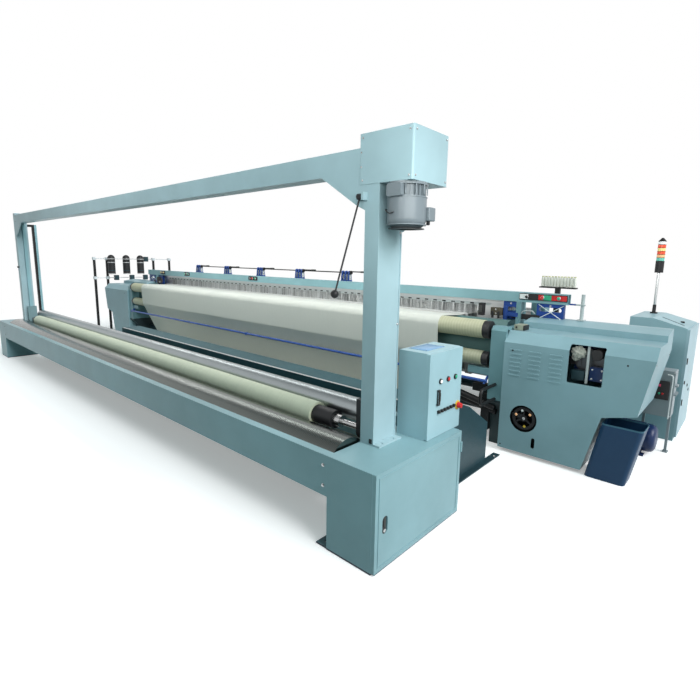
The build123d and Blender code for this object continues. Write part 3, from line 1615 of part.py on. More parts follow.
# Crossbeam between the posts with a gusset under each end
with BuildPart() as crossbeam:
    with BuildSketch(Plane.YZ.offset(winder_x)):
        with Locations((post_front_y + crossbeam_depth / 2, crossbeam_top - crossbeam_height / 2)):
            Rectangle(crossbeam_depth, crossbeam_height)
            Rectangle(crossbeam_depth - 2 * post_wall, crossbeam_height - 2 * post_wall, mode=Mode.SUBTRACT)
    extrude(amount=post_x - seat - winder_x)
    with BuildSketch(Plane.XZ.offset(-post_front_y - gusset_thick)):
        with BuildLine():
            Polyline(
                (post_x - seat, crossbeam_top - crossbeam_height + post_wall / 2),
                (post_x - seat, crossbeam_top - crossbeam_height - 200),
                (post_x - 65, crossbeam_top - crossbeam_height - 170),
                (post_x - gusset_size - 55, crossbeam_top - crossbeam_height + post_wall / 2),
                close=True,
            )
        make_face()
    extrude(amount=gusset_thick)
    mirror(about=winder_plane)
save(crossbeam.part, "crossbeam")

# Motor housing on the right post, cut out round the crossbeam, with the chain guard
housing_front_y = post_front_y - 2 * seat - sheet
housing_x = winder_right - housing_right_in - housing_width / 2
housing_y = housing_front_y + housing_depth / 2
post_back_y = post_front_y + post_depth
with BuildPart() as motor_housing:
    with BuildSketch(Plane.XY.offset(housing_bottom)):
        with Locations((housing_x, housing_y)):
            RectangleRounded(housing_width, housing_depth, edge_round)
    extrude(amount=housing_height)
    with BuildSketch(Plane.XY.offset(housing_bottom)):
        with Locations((housing_x, housing_y)):
            RectangleRounded(housing_width - 2 * sheet, housing_depth - 2 * sheet, edge_round - sheet)
    extrude(amount=housing_height - sheet, mode=Mode.SUBTRACT)
    with BuildSketch(Plane.YZ.offset(housing_x - housing_width / 2)):
        with Locations((post_front_y - seat, housing_bottom)):
            Rectangle(
                crossbeam_depth + 4 * seat,
                crossbeam_top + 4 * seat - housing_bottom,
                align=(Align.MIN, Align.MIN),
            )
    extrude(amount=4 * sheet, mode=Mode.SUBTRACT)
    with BuildSketch(Plane.XY.offset(post_top + 2 * seat)):
        with Locations((post_x + post_width / 2, post_middle_y)):
            Rectangle(post_width - edge_round, post_depth - 2 * edge_round)
    extrude(amount=housing_bottom + housing_height - sheet - post_top)
    with BuildSketch(Plane.XY.offset(housing_bottom)):
        with Locations((post_x + post_width + housing_floor_gap, housing_y)):
            Rectangle(
                housing_width - post_width - housing_floor_less,
                housing_depth - sheet,
                align=(Align.MIN, Align.CENTER),
            )
        with Locations((housing_x, post_back_y + seat)):
            Rectangle(
                housing_width - sheet,
                housing_front_y + housing_depth - post_back_y - seat / 2,
                align=(Align.CENTER, Align.MIN),
            )
    extrude(amount=sheet)
    with BuildSketch(Plane.XZ.offset(-post_back_y - seat)):
        with Locations((post_x + post_width / 2, guard_bottom + guard_length / 2)):
            SlotOverall(guard_length, guard_width, rotation=90)
    extrude(amount=-guard_depth)
save(motor_housing.part, "motor_housing")

# Lift motor hanging under the housing: flange, ribbed body, rounded fan cowl, terminal box
lift_motor_top = housing_bottom - seat
lift_flange_z = lift_motor_top - lift_flange
lift_body_r = lift_motor_r * lift_body_share
with BuildPart() as lift_motor:
    with BuildSketch(Plane.XZ):
        with BuildLine():
            Line((0, lift_motor_top), (lift_motor_r, lift_motor_top))
            Line((lift_motor_r, lift_motor_top), (lift_motor_r, lift_flange_z))
            Line((lift_motor_r, lift_flange_z), (lift_body_r, lift_flange_z))
            Line((lift_body_r, lift_flange_z), (lift_body_r, lift_cowl_top))
            Line((lift_body_r, lift_cowl_top), (lift_motor_r, lift_cowl_top))
            Line((lift_motor_r, lift_cowl_top), (lift_motor_r, lift_cowl_bottom + lift_cowl_round))
            ThreePointArc(
                (lift_motor_r, lift_cowl_bottom + lift_cowl_round),
                (lift_motor_r - lift_cowl_bend, lift_cowl_bottom + lift_cowl_bend),
                (lift_motor_r - lift_cowl_round, lift_cowl_bottom),
            )
            Line((lift_motor_r - lift_cowl_round, lift_cowl_bottom), (0, lift_cowl_bottom))
            Line((0, lift_cowl_bottom), (0, lift_motor_top))
        make_face()
    revolve(axis=Axis.Z)
    with BuildSketch(Plane.XY.offset(lift_cowl_top)):
        with PolarLocations(lift_body_r, motor_rib_count):
            Rectangle(motor_rib * motor_rib_share, motor_rib / 3)
    extrude(amount=lift_motor_top - lift_cowl_top)
    with BuildSketch(Plane.XZ.offset(lift_motor_r * lift_box_share)):
        with Locations((0, lift_motor_top - lift_box_drop - lift_box_height / 4)):
            RectangleRounded(lift_box_width, lift_box_height * lift_box_share, 8)
    extrude(amount=lift_box_height * lift_box_out)
save(lift_motor.part.moved(Location((lift_motor_x, winder_y + lift_motor_y, 0))), "lift_motor")

# Lift rails, the chain guard behind the left post and the carriages on the rails
rail_high_x = post_x - seat
rail_low_x = rail_high_x - rail_thick
chain_guard_x = left_inner_x - bearing_inset - bearing_width / 2
with BuildPart() as lift_rails:
    with BuildSketch(Plane.XY.offset(cabinet_height + seat)):
        with Locations((rail_low_x + rail_thick / 2, roll_y)):
            Rectangle(rail_thick, rail_depth)
    extrude(amount=lift_rail_top - cabinet_height)
    with BuildSketch(Plane.XY.offset(cabinet_height + seat)):
        with Locations((rail_low_x + rail_thick / 2, roll_y)):
            Rectangle(rail_thick, rail_foot)
    extrude(amount=rail_foot / 2)
    mirror(about=winder_plane)
    with BuildSketch(Plane.XY.offset(bearing_top + seat)):
        with Locations((chain_guard_x, chain_guard_y)):
            Rectangle(chain_guard_width, chain_guard_depth)
        with Locations((chain_guard_x, chain_guard_y + chain_guard_depth)):
            Rectangle(chain_guard_flange, chain_guard_depth)
    extrude(amount=lift_rail_top - bearing_top)
    with BuildSketch(Plane.XY.offset(lift_rail_top + seat)):
        with Locations((chain_guard_x, post_front_y + left_post_depth + seat)):
            Rectangle(
                chain_guard_width,
                chain_guard_y - post_front_y - left_post_depth,
                align=(Align.CENTER, Align.MIN),
            )
    extrude(amount=-chain_guard_width)
save(lift_rails.part, "lift_rails")

carriage_x = rail_low_x - seat - carriage_thick
carriage_jaw_y = rail_depth / 2 + seat + carriage_jaw / 2
with BuildPart() as roll_carriages:
    with BuildSketch(Plane.YZ.offset(carriage_x)):
        with Locations((roll_y, roll_z)):
            Circle(carriage_r)
        with Locations((roll_y, (roll_z + carriage_top) / 2)):
            Rectangle(2 * carriage_r, carriage_top - roll_z)
        with Locations((roll_y, roll_z)):
            Circle(roll_shaft_r + shaft_fit, mode=Mode.SUBTRACT)
    extrude(amount=carriage_thick)
    with BuildSketch(Plane.YZ.offset(carriage_x)):
        with Locations((roll_y, (carriage_jaw_z + carriage_top) / 2)):
            with GridLocations(2 * carriage_jaw_y, 0, 2, 1):
                Rectangle(carriage_jaw, carriage_top - carriage_jaw_z)
    extrude(amount=post_x - 2 - carriage_x)
    mirror(about=winder_plane)
save(roll_carriages.part, "roll_carriages")

# Cloth roll: shaft with hubs, batch tube and the wound cloth
tube_half = cloth_width / 2 + roll_tube_extra
with BuildPart() as roll_shaft:
    with BuildSketch(Plane.YZ.offset(winder_x)):
        with Locations((roll_y, roll_z)):
            Circle(roll_shaft_r)
    extrude(amount=carriage_x + carriage_thick - winder_x)
    with BuildSketch(Plane.YZ.offset(winder_x + tube_half + seat)):
        with Locations((roll_y, roll_z)):
            Circle(roll_hub_r)
    extrude(amount=roll_hub_length)
    mirror(about=winder_plane)
save(roll_shaft.part, "roll_shaft")

with BuildPart() as batch_tube:
    with BuildSketch(Plane.YZ.offset(winder_x - tube_half)):
        with Locations((roll_y, roll_z)):
            Circle(roll_tube_r)
            Circle(roll_shaft_r + seat, mode=Mode.SUBTRACT)
    extrude(amount=2 * tube_half)
save(batch_tube.part, "batch_tube")

with BuildPart() as cloth_roll:
    with BuildSketch(Plane.YZ.offset(roll_cloth_x - cloth_width / 2)):
        with Locations((roll_y, roll_z)):
            Circle(roll_r)
            Circle(roll_tube_r + seat, mode=Mode.SUBTRACT)
    extrude(amount=cloth_width)
save(cloth_roll.part, "cloth_roll")

# Drums and guide roller of the winder
drum_half = cabinet_low_x - drum_end_gap - winder_x
drum_end = cabinet_low_x + drum_journal_in - winder_x
drums = (
    ("front_drum", drum_centre, front_drum_r, drum_journal_r),
    ("rear_roller", rear_centre, rear_roller_r, journal_r),
    ("winder_guide_roller", (winder_y + guide_roller_y, guide_roller_z), guide_roller_r, journal_r),
)
for label, centre, radius, journal in drums:
    drum_part = turned_roller(drum_half, radius, radius * drum_neck_share, journal, drum_end, drum_end_gap / 2)
    save(drum_part.moved(Location((winder_x, centre[0], centre[1]))), label)

# Control box on the drive cabinet, with its door, switches and stop button
control_high_x = winder_right - control_inset
control_low_x = control_high_x - control_width
control_middle_y = winder_y + control_y + control_depth / 2
control_low_z = cabinet_height + seat
control_middle_z = control_low_z + control_height / 2
with BuildPart() as control_box:
    with BuildSketch(Plane.YZ.offset(control_low_x)):
        with Locations((control_middle_y, control_middle_z)):
            Rectangle(control_depth, control_height)
    extrude(amount=control_width - door_thick - seat)
    with BuildSketch(Plane.YZ.offset(control_low_x + sheet)):
        with Locations((control_middle_y, control_middle_z)):
            Rectangle(control_depth - 2 * sheet, control_height - 2 * sheet)
    extrude(amount=control_width, mode=Mode.SUBTRACT)
save(control_box.part, "control_box")

stop_y = winder_y + control_y + control_depth - stop_from_edge
stop_z = control_low_z + stop_rise
with BuildPart() as control_door:
    with BuildSketch(Plane.YZ.offset(control_high_x - door_thick)):
        with Locations((control_middle_y, control_middle_z)):
            RectangleRounded(control_depth - 2, control_height - 4, fine_round)
        with Locations((stop_y, stop_z)):
            Circle(stop_stem_r + shaft_fit, mode=Mode.SUBTRACT)
    extrude(amount=door_thick)
    with BuildSketch(Plane.YZ.offset(control_high_x)):
        with Locations((winder_y + lamp_y, control_low_z + lamp_z)):
            with GridLocations(lamp_pitch, 0, 3, 1):
                Circle(lamp_r)
    extrude(amount=lamp_out)
    with BuildSketch(Plane.YZ.offset(control_high_x)):
        with Locations((winder_y + handle_y, control_low_z + handle_z)):
            SlotOverall(handle_length, handle_width, rotation=90)
        with Locations((winder_y + switch_y, control_low_z + switch_z)):
            with GridLocations(switch_pitch, 0, switch_count, 1):
                RectangleRounded(switch_length, switch_depth, 3)
    extrude(amount=switch_out)
save(control_door.part, "control_door")

with BuildPart() as stop_button:
    with BuildSketch(Plane.YZ.offset(control_high_x - door_thick)):
        with Locations((stop_y, stop_z)):
            Circle(stop_stem_r)
    extrude(amount=door_thick + stop_travel + 2)
    with BuildSketch(Plane.YZ.offset(control_high_x + stop_travel + 1)):
        with Locations((stop_y, stop_z)):
            Circle(stop_r)
    extrude(amount=stop_out - stop_travel, taper=stop_taper)
save(stop_button.part, "stop_button")

# Walkway: a bent tread, brackets on the winder's rear beam and a plate on the floor
tread_line = (
    (walkway_front_y, walkway_top_z - walkway_nose),
    (walkway_front_y, walkway_top_z),
    (walkway_flat_y, walkway_top_z),
    (walkway_bend_y, walkway_bend_z),
    (walkway_back_y, walkway_back_z),
)
with BuildPart() as walkway_tread:
    with BuildSketch(Plane.YZ.offset(walkway_left_x)):
        with BuildLine():
            Polyline(*tread_line)
        trace(line_width=walkway_sheet)
    extrude(amount=walkway_right_x - walkway_left_x)
save(walkway_tread.part, "walkway_tread")

under = walkway_sheet * 0.75
tread_under = (
    (walkway_front_y + under, walkway_top_z - under),
    (walkway_flat_y, walkway_top_z - under),
    (walkway_bend_y, walkway_bend_z - under),
    (walkway_back_y, walkway_back_z - under),
)
rear_beam_back = winder_y + rear_beam_y + rear_beam_depth + seat
nose_z = walkway_top_z - walkway_nose - walkway_sheet
with BuildPart() as walkway_supports:
    for bracket_x in walkway_bracket_xs + (walkway_left_x,):
        with BuildSketch(Plane.YZ.offset(bracket_x)):
            with BuildLine():
                Polyline(
                    (rear_beam_back, beam_low_z + 20),
                    (rear_beam_back, nose_z),
                    (walkway_front_y + under, nose_z),
                    *tread_under,
                    (walkway_back_y - 20, walkway_back_z - 60),
                    close=True,
                )
            make_face()
        extrude(amount=walkway_bracket_thick)
    with BuildSketch(Plane.YZ.offset(walkway_right_x - walkway_bracket_thick)):
        with BuildLine():
            Polyline((walkway_front_y + under, 0), *tread_under, (walkway_back_y, 0), close=True)
        make_face()
    extrude(amount=walkway_bracket_thick)
    with BuildSketch(Plane.XY):
        with Locations((walkway_right_x, walkway_front_y - 30)):
            Rectangle(44, walkway_back_y - walkway_front_y + 30 + walkway_foot, align=(Align.MIN, Align.MIN))
        with Locations((walkway_right_x - walkway_bracket_thick, walkway_back_y)):
            Rectangle(20, walkway_foot, align=(Align.MIN, Align.MIN))
    extrude(amount=10)
save(walkway_supports.part, "walkway_supports")
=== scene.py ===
"""Dresses the wide power loom and its cloth winder: finishes for every solid, cloth and
yarn, wires, fasteners, buttons, lamps and the studio round them. Sizes are in metres."""

import json
import logging
import math
from dataclasses import dataclass, field
from enum import Enum
from itertools import product
from typing import Any, Callable, Iterable, Mapping, Sequence

import bmesh
import bpy
import numpy as np
from mathutils import Matrix, Vector
from mathutils.bvhtree import BVHTree

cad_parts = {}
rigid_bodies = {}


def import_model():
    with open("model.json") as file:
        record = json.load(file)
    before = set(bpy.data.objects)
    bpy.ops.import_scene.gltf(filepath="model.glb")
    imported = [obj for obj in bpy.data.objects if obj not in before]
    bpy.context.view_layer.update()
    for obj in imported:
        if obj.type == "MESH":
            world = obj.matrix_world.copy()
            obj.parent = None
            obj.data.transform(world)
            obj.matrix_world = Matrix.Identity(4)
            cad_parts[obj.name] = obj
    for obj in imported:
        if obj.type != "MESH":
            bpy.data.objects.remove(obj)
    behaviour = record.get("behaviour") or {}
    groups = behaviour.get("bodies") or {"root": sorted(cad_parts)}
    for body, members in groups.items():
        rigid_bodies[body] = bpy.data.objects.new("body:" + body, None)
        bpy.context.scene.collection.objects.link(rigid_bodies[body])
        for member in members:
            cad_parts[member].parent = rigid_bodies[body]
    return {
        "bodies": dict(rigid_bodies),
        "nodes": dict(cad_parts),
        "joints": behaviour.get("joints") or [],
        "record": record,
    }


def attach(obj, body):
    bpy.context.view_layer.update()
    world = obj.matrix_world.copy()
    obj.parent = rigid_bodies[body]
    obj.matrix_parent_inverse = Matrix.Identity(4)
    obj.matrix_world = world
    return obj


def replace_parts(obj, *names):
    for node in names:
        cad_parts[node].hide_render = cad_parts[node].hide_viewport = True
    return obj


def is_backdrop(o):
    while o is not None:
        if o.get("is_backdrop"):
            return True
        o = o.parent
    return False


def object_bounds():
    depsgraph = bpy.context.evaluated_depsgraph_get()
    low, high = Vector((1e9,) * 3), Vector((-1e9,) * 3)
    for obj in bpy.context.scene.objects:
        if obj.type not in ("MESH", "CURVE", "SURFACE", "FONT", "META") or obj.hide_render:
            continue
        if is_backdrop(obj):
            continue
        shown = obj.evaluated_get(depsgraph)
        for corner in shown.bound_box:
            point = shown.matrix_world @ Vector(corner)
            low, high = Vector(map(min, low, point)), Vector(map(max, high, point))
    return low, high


LOG = logging.getLogger("loom")
Colour = tuple[float, float, float]
Point = tuple[float, float, float]
Profile = Sequence[tuple[float, float]]
ROOT = "machine"
SHARP_ANGLE = 0.6  # radians; a flatter edge is shaded smooth
FAR_OFF = 20.0  # metres out, where a probe's line starts
BEYOND = 9.0  # metres out, past the end of every solid
MM_IN_M = 1000.0
WAVE_SCALE = 0.314  # metres from band to band of a Wave texture of scale one


class Axis(Enum):
    """The three directions, by index."""

    X = 0
    Y = 1
    Z = 2

    @property
    def outward(self) -> float:
        """The side that trim stands on: the front along Y, the right and the top otherwise."""
        return -1.0 if self is Axis.Y else 1.0


X, Y, Z = Axis


# Shader graphs


def maths(operation: str, swapped: bool = False, clamp: bool = False) -> Callable[..., "Wire"]:
    """A method that adds one Math node, with its operands swapped or its result clamped."""

    def method(wire: "Wire", other: Any = 0.0) -> "Wire":
        """Adds the node to the wire's graph."""
        pair = (other, wire) if swapped else (wire, other)
        settings = {"operation": operation, "use_clamp": clamp}
        return wire.graph.add("ShaderNodeMath", settings, dict(enumerate(pair)))["Value"]

    return method


@dataclass
class Wire:
    """One output socket that takes part in ordinary arithmetic."""

    graph: "Graph"
    socket: Any
    __add__, __radd__ = maths("ADD"), maths("ADD", True)
    __sub__, __rsub__ = maths("SUBTRACT"), maths("SUBTRACT", True)
    __mul__, __rmul__ = maths("MULTIPLY"), maths("MULTIPLY", True)
    __gt__, __abs__ = maths("GREATER_THAN"), maths("ABSOLUTE")
    clamped = maths("ADD", clamp=True)


@dataclass
class Outputs:
    """The outputs of one node, read by name or number as wires."""

    graph: "Graph"
    node: Any

    def __getitem__(self, key: str | int) -> Wire:
        """The wire of one output."""
        return Wire(self.graph, self.node.outputs[key])


class Graph:
    """The node tree of a material or a world, and the one method that adds nodes to it."""

    def __init__(self, owner: Any) -> None:
        """Clears the owner's own nodes."""
        self.owner = owner
        owner.use_nodes = True
        self.tree = owner.node_tree
        self.tree.nodes.clear()

    def add(self, kind: str, settings: Mapping[str, Any], values: Mapping[Any, Any]) -> Outputs:
        """Adds a node.

        Args:
            kind: the node's type.
            settings: its own settings, and "stops" for a ramp, set first.
            values: numbers, tuples or wires for its sockets, by name or index.

        Returns:
            The node's outputs.
        """
        node = self.tree.nodes.new(kind)
        for key, value in settings.items():
            if key == "stops":
                elements = node.color_ramp.elements
                while len(elements) < len(value):
                    elements.new(0.5)
                for element, (place, colour) in zip(elements, value):
                    element.position, element.color = place, (*colour, 1.0)
            else:
                setattr(node, key, value)
        for key, value in values.items():
            socket = node.inputs[key]
            if isinstance(value, Wire):
                self.tree.links.new(value.socket, socket)
            elif socket.type == "RGBA" and len(value) == 3:
                socket.default_value = (*value, 1.0)
            else:
                socket.default_value = value
        return Outputs(self, node)

    def _mapped(self, source: Wire, scale: Point) -> Wire:
        """Coordinates stretched by scale."""
        return self.add("ShaderNodeMapping", {}, {"Vector": source, "Scale": scale})["Vector"]

    def place(self, scale: Point = (1.0, 1.0, 1.0)) -> Wire:
        """Object coordinates, stretched by scale."""
        return self._mapped(self.add("ShaderNodeTexCoord", {}, {})["Object"], scale)

    def lay(self, scale: Point = (1.0, 1.0, 1.0)) -> Wire:
        """The piece's own map in metres, stretched by scale."""
        return self._mapped(self.add("ShaderNodeUVMap", {"uv_map": "lay"}, {})["UV"], scale)

    def along(self, axis: Axis, vector: Wire) -> Wire:
        """One part of a vector."""
        return self.add("ShaderNodeSeparateXYZ", {}, {"Vector": vector})[axis.name]

    def noise(self, vector: Wire, scale: float, detail: float = 3.0, rough: float = 0.55) -> Wire:
        """Fractal noise from 0 to 1."""
        values = {"Vector": vector, "Scale": scale, "Detail": detail, "Roughness": rough}
        return self.add("ShaderNodeTexNoise", {}, values)["Fac"]

    def bands(self, vector: Wire, axis: Axis, pitch: float, wobble: float, detail: float = 1.0) -> Wire:
        """Soft stripes square to an axis, a pitch in metres apart."""
        values = {"Vector": vector, "Scale": WAVE_SCALE / pitch, "Distortion": wobble, "Detail": detail}
        return self.add("ShaderNodeTexWave", {"bands_direction": axis.name}, values)["Fac"]

    def ramp(self, factor: Wire, *stops: tuple[float, Colour]) -> Wire:
        """A colour ramp over a factor."""
        return self.add("ShaderNodeValToRGB", {"stops": stops}, {"Fac": factor})["Color"]

    def spread(self, factor: Wire, low: float, high: float) -> Wire:
        """Maps 0..1 to low..high."""
        return factor * (high - low) + low

    def blend(self, factor: Wire | float, first: Any, second: Any) -> Wire:
        """Mixes two colours."""
        return self.add("ShaderNodeMix", {"data_type": "RGBA"}, {0: factor, 6: first, 7: second})[2]

    def bump(self, height: Wire, distance: float) -> Wire:
        """A bumped normal from a height wire."""
        values = {"Height": height, "Distance": distance, "Strength": 1.0}
        return self.add("ShaderNodeBump", {}, values)["Normal"]

    def seen(self) -> Wire:
        """One for camera, glossy and transmission rays, zero for light's own."""
        ray = self.add("ShaderNodeLightPath", {}, {})
        return (ray["Is Camera Ray"] + ray["Is Glossy Ray"] + ray["Is Transmission Ray"]).clamped()


def shade(colour: Colour, factor: float) -> Colour:
    """A colour made darker or lighter, held at one."""
    return tuple(min(1.0, part * factor) for part in colour)


# Finishes


@dataclass(frozen=True)
class Zone:
    """A stretch of a solid, from low to high along an axis, that wears another colour; both
    signs are the same where mirrored."""

    axis: Axis
    low: float
    high: float
    colour: Colour
    mirrored: bool = False

    def mask(self, graph: Graph, place: Wire) -> Wire:
        """One inside the stretch and zero outside, over a millimetre."""
        reach = graph.along(self.axis, place)
        reach = abs(reach) if self.mirrored else reach
        return ((reach - self.low) * MM_IN_M).clamped() * ((self.high - reach) * MM_IN_M).clamped()


@dataclass(frozen=True)
class Finish:
    """A named colour, with stretches in other colours, that builds its own material."""

    name: str
    colour: Colour
    zones: tuple[Zone, ...] = field(default=(), kw_only=True)

    def values(self, g: Graph) -> dict[str, Any]:
        """Lays the nodes into the graph and returns the principled shader's inputs."""
        raise NotImplementedError

    def zoned(self, g: Graph, place: Wire, colour: Wire) -> Wire:
        """The colour with the zones' own over it."""
        for zone in self.zones:
            colour = g.blend(zone.mask(g, place), colour, zone.colour)
        return colour

    def material(self) -> bpy.types.Material:
        """Builds the material."""
        g = Graph(bpy.data.materials.new(self.name))
        shader = g.add("ShaderNodeBsdfPrincipled", {}, self.values(g))
        g.add("ShaderNodeOutputMaterial", {}, {"Surface": shader["BSDF"]})
        return g.owner


@dataclass(frozen=True)
class Paint(Finish):
    """Satin enamel: orange peel as deep as peel, soft clouding, a clear coat, and dust that
    gathers in patches."""

    roughness: float = 0.34
    cloud: float = 0.07
    peel: float = 0.00025
    coat: float = 0.04

    def values(self, g: Graph) -> dict[str, Any]:
        """Clouded colour, its zones and dust; fine noise in the roughness; peel in relief."""
        place = g.place()
        clouds = g.noise(place, 2.3, 4.0)
        fine = g.noise(place, 38.0, 5.0, 0.7)
        dark, light = shade(self.colour, 1.0 - 1.6 * self.cloud), shade(self.colour, 1.0 + self.cloud)
        tone = g.ramp(clouds, (0.3, dark), (0.7, light))
        for zone in self.zones:
            zoned = g.ramp(clouds, (0.3, shade(zone.colour, 0.9)), (0.7, shade(zone.colour, 1.08)))
            tone = g.blend(zone.mask(g, place), tone, zoned)
        dust = g.noise(g.place((1.0, 1.0, 3.0)), 6.5, 6.0, 0.75)
        dusty = tuple(0.78 * c + 0.22 * d for c, d in zip(self.colour, (0.42, 0.41, 0.37)))
        return {
            "Base Color": g.blend((dust > 0.64) * 0.14, tone, dusty),
            "Roughness": g.spread(fine, self.roughness - 0.05, self.roughness + 0.12),
            "Normal": g.bump(g.noise(place, 210.0, 2.0, 0.5), self.peel),
            "Coat Weight": self.coat, "Coat Roughness": 0.25, "Specular IOR Level": 0.25,
        }


@dataclass(frozen=True)
class Steel(Finish):
    """Worked metal whose grain runs along one direction, as deep as depth; streak says how
    strongly uneven stripes square to X darken it."""

    roughness: float = 0.28
    grain: Axis = X
    depth: float = 0.00012
    metallic: float = 1.0
    streak: float = 0.0

    def values(self, g: Graph) -> dict[str, Any]:
        """Stained colour with stripes and zones; the grain in roughness and relief."""
        stretch = tuple(2.0 if axis is self.grain else 90.0 for axis in Axis)
        lines = g.noise(g.place(stretch), 6.0, 5.0, 0.7)
        place = g.place()
        colour = g.blend(g.noise(place, 5.0, 5.0, 0.65) * 0.6, self.colour, shade(self.colour, 0.7))
        if self.streak:
            stripes = ((g.noise(g.place((1.0, 0.02, 0.02)), 26.0, 6.0, 0.8) - 0.44) * 6.0).clamped()
            colour = g.blend(stripes * self.streak, colour, shade(self.colour, 0.12))
        return {
            "Base Color": self.zoned(g, place, colour), "Metallic": self.metallic,
            "Roughness": g.spread(lines, self.roughness - 0.06, self.roughness + 0.14),
            "Normal": g.bump(lines, self.depth),
        }


@dataclass(frozen=True)
class Lagging(Finish):
    """A roller wound with strips of pale covering, a pitch wide, with black end caps from
    a place along X outward."""

    pitch: float = 0.028
    cap: float = 3.561
    cap_colour: Colour = (0.008, 0.009, 0.01)

    def values(self, g: Graph) -> dict[str, Any]:
        """Strips and lengthwise streaks in the colour, the caps over it, strips and grain in relief."""
        place = g.place()
        strips = g.bands(place, X, self.pitch, 0.6, 2.0)
        lengthwise_streaks = g.noise(g.place((0.8, 5.0, 5.0)), 4.0, 5.0, 0.65)
        colour = g.blend(strips * 0.25 + lengthwise_streaks * 0.35, self.colour, shade(self.colour, 0.62))
        cap = Zone(X, self.cap, BEYOND, self.cap_colour, True)
        return {
            "Base Color": g.blend(cap.mask(g, place), colour, self.cap_colour),
            "Roughness": g.spread(lengthwise_streaks, 0.42, 0.62),
            "Normal": g.bump(strips + g.noise(place, 160.0, 3.0, 0.6) * 0.4, 0.0007),
        }


@dataclass(frozen=True)
class Ribbed(Finish):
    """Bright metal knurled by fine ribs round the drum, under darker streaks that run along it."""

    pitch: float = 0.012
    roughness: float = 0.13
    depth: float = 0.0003

    def values(self, g: Graph) -> dict[str, Any]:
        """Streaks along the drum and the ribs' feet darken the colour; the ribs stand in relief."""
        waves = g.bands(g.place(), X, self.pitch, 0.15)
        lengthwise_streaks = g.noise(g.place((0.35, 6.0, 6.0)), 3.0, 4.0, 0.6)
        return {
            "Base Color": g.blend(lengthwise_streaks * 0.5 + (1.0 - waves) * 0.2, self.colour, shade(self.colour, 0.5)),
            "Metallic": 1.0, "Roughness": g.spread(lengthwise_streaks, self.roughness, self.roughness + 0.08),
            "Normal": g.bump(waves, self.depth),
        }


@dataclass(frozen=True)
class Woven(Finish):
    """Plain weave: warp threads along V and weft threads along U of the piece's own map,
    whose units are metres."""

    pitch: float = 0.0035
    depth: float = 0.0004
    streak: float = 0.08

    def values(self, g: Graph) -> dict[str, Any]:
        """Streaks along the warp, clouds and the weave's hollows in colour and relief."""
        lay = g.lay()
        across, down = g.bands(lay, X, self.pitch, 0.3), g.bands(lay, Y, self.pitch, 0.3)
        weave = across * down + (1.0 - across) * (1.0 - down)
        streaks = g.noise(g.lay((9.0, 0.5, 1.0)), 6.0, 5.0, 0.7)
        worn = streaks * 0.6 + g.noise(lay, 1.2, 3.0, 0.5) * 0.4
        colour = g.blend(worn, self.colour, shade(self.colour, 1.0 - 2.0 * self.streak))
        return {
            "Base Color": g.blend((1.0 - weave) * 0.25, colour, shade(self.colour, 0.7)),
            "Roughness": g.spread(streaks, 0.75, 0.92), "Sheen Weight": 0.2,
            "Sheen Roughness": 0.4, "Normal": g.bump(weave + streaks * 0.5, self.depth),
        }


@dataclass(frozen=True)
class Yarn(Finish):
    """Threads side by side, counted by U of the piece's own map."""

    pitch: float = 0.004
    depth: float = 0.0008

    def values(self, g: Graph) -> dict[str, Any]:
        """Threads and long streaks in colour and relief."""
        ends = g.bands(g.lay(), X, self.pitch, 0.8, 2.0)
        streaks = g.noise(g.lay((14.0, 0.4, 1.0)), 5.0, 5.0, 0.7)
        dark = streaks * 0.5 + (1.0 - ends) * 0.35
        return {
            "Base Color": g.blend(dark, self.colour, shade(self.colour, 0.55)),
            "Roughness": g.spread(streaks, 0.7, 0.9), "Sheen Weight": 0.2,
            "Normal": g.bump(ends + streaks * 0.5, self.depth),
        }


@dataclass(frozen=True)
class Moulding(Finish):
    """Moulded plastic or rubber with a fine grain and wear; lamps glow a little."""

    roughness: float = 0.45
    grain: float = 0.0002
    glow: float = 0.0

    def values(self, g: Graph) -> dict[str, Any]:
        """Wear lightens the colour and roughens it; a fine grain stands in relief."""
        place = g.place()
        wear = g.noise(place, 14.0, 5.0, 0.7)
        light = tuple(min(1.0, c * 1.25 + 0.012) for c in self.colour)
        colour = self.zoned(g, place, g.blend(wear * 0.6, self.colour, light))
        glow = {"Emission Color": colour, "Emission Strength": self.glow} if self.glow else {}
        return glow | {
            "Base Color": colour, "Specular IOR Level": 0.3,
            "Roughness": g.spread(wear, self.roughness - 0.06, self.roughness + 0.12),
            "Normal": g.bump(g.noise(place, 420.0, 2.0, 0.6), self.grain),
        }


@dataclass(frozen=True)
class Fluff(Finish):
    """Loose cotton lint."""

    def values(self, g: Graph) -> dict[str, Any]:
        """Tufts in colour, roughness and relief."""
        tufts = g.noise(g.place(), 90.0, 8.0, 0.8)
        return {
            "Base Color": g.blend(tufts, shade(self.colour, 0.45), self.colour),
            "Roughness": g.spread(tufts, 0.85, 1.0), "Sheen Weight": 0.6,
            "Normal": g.bump(tufts, 0.004),
        }


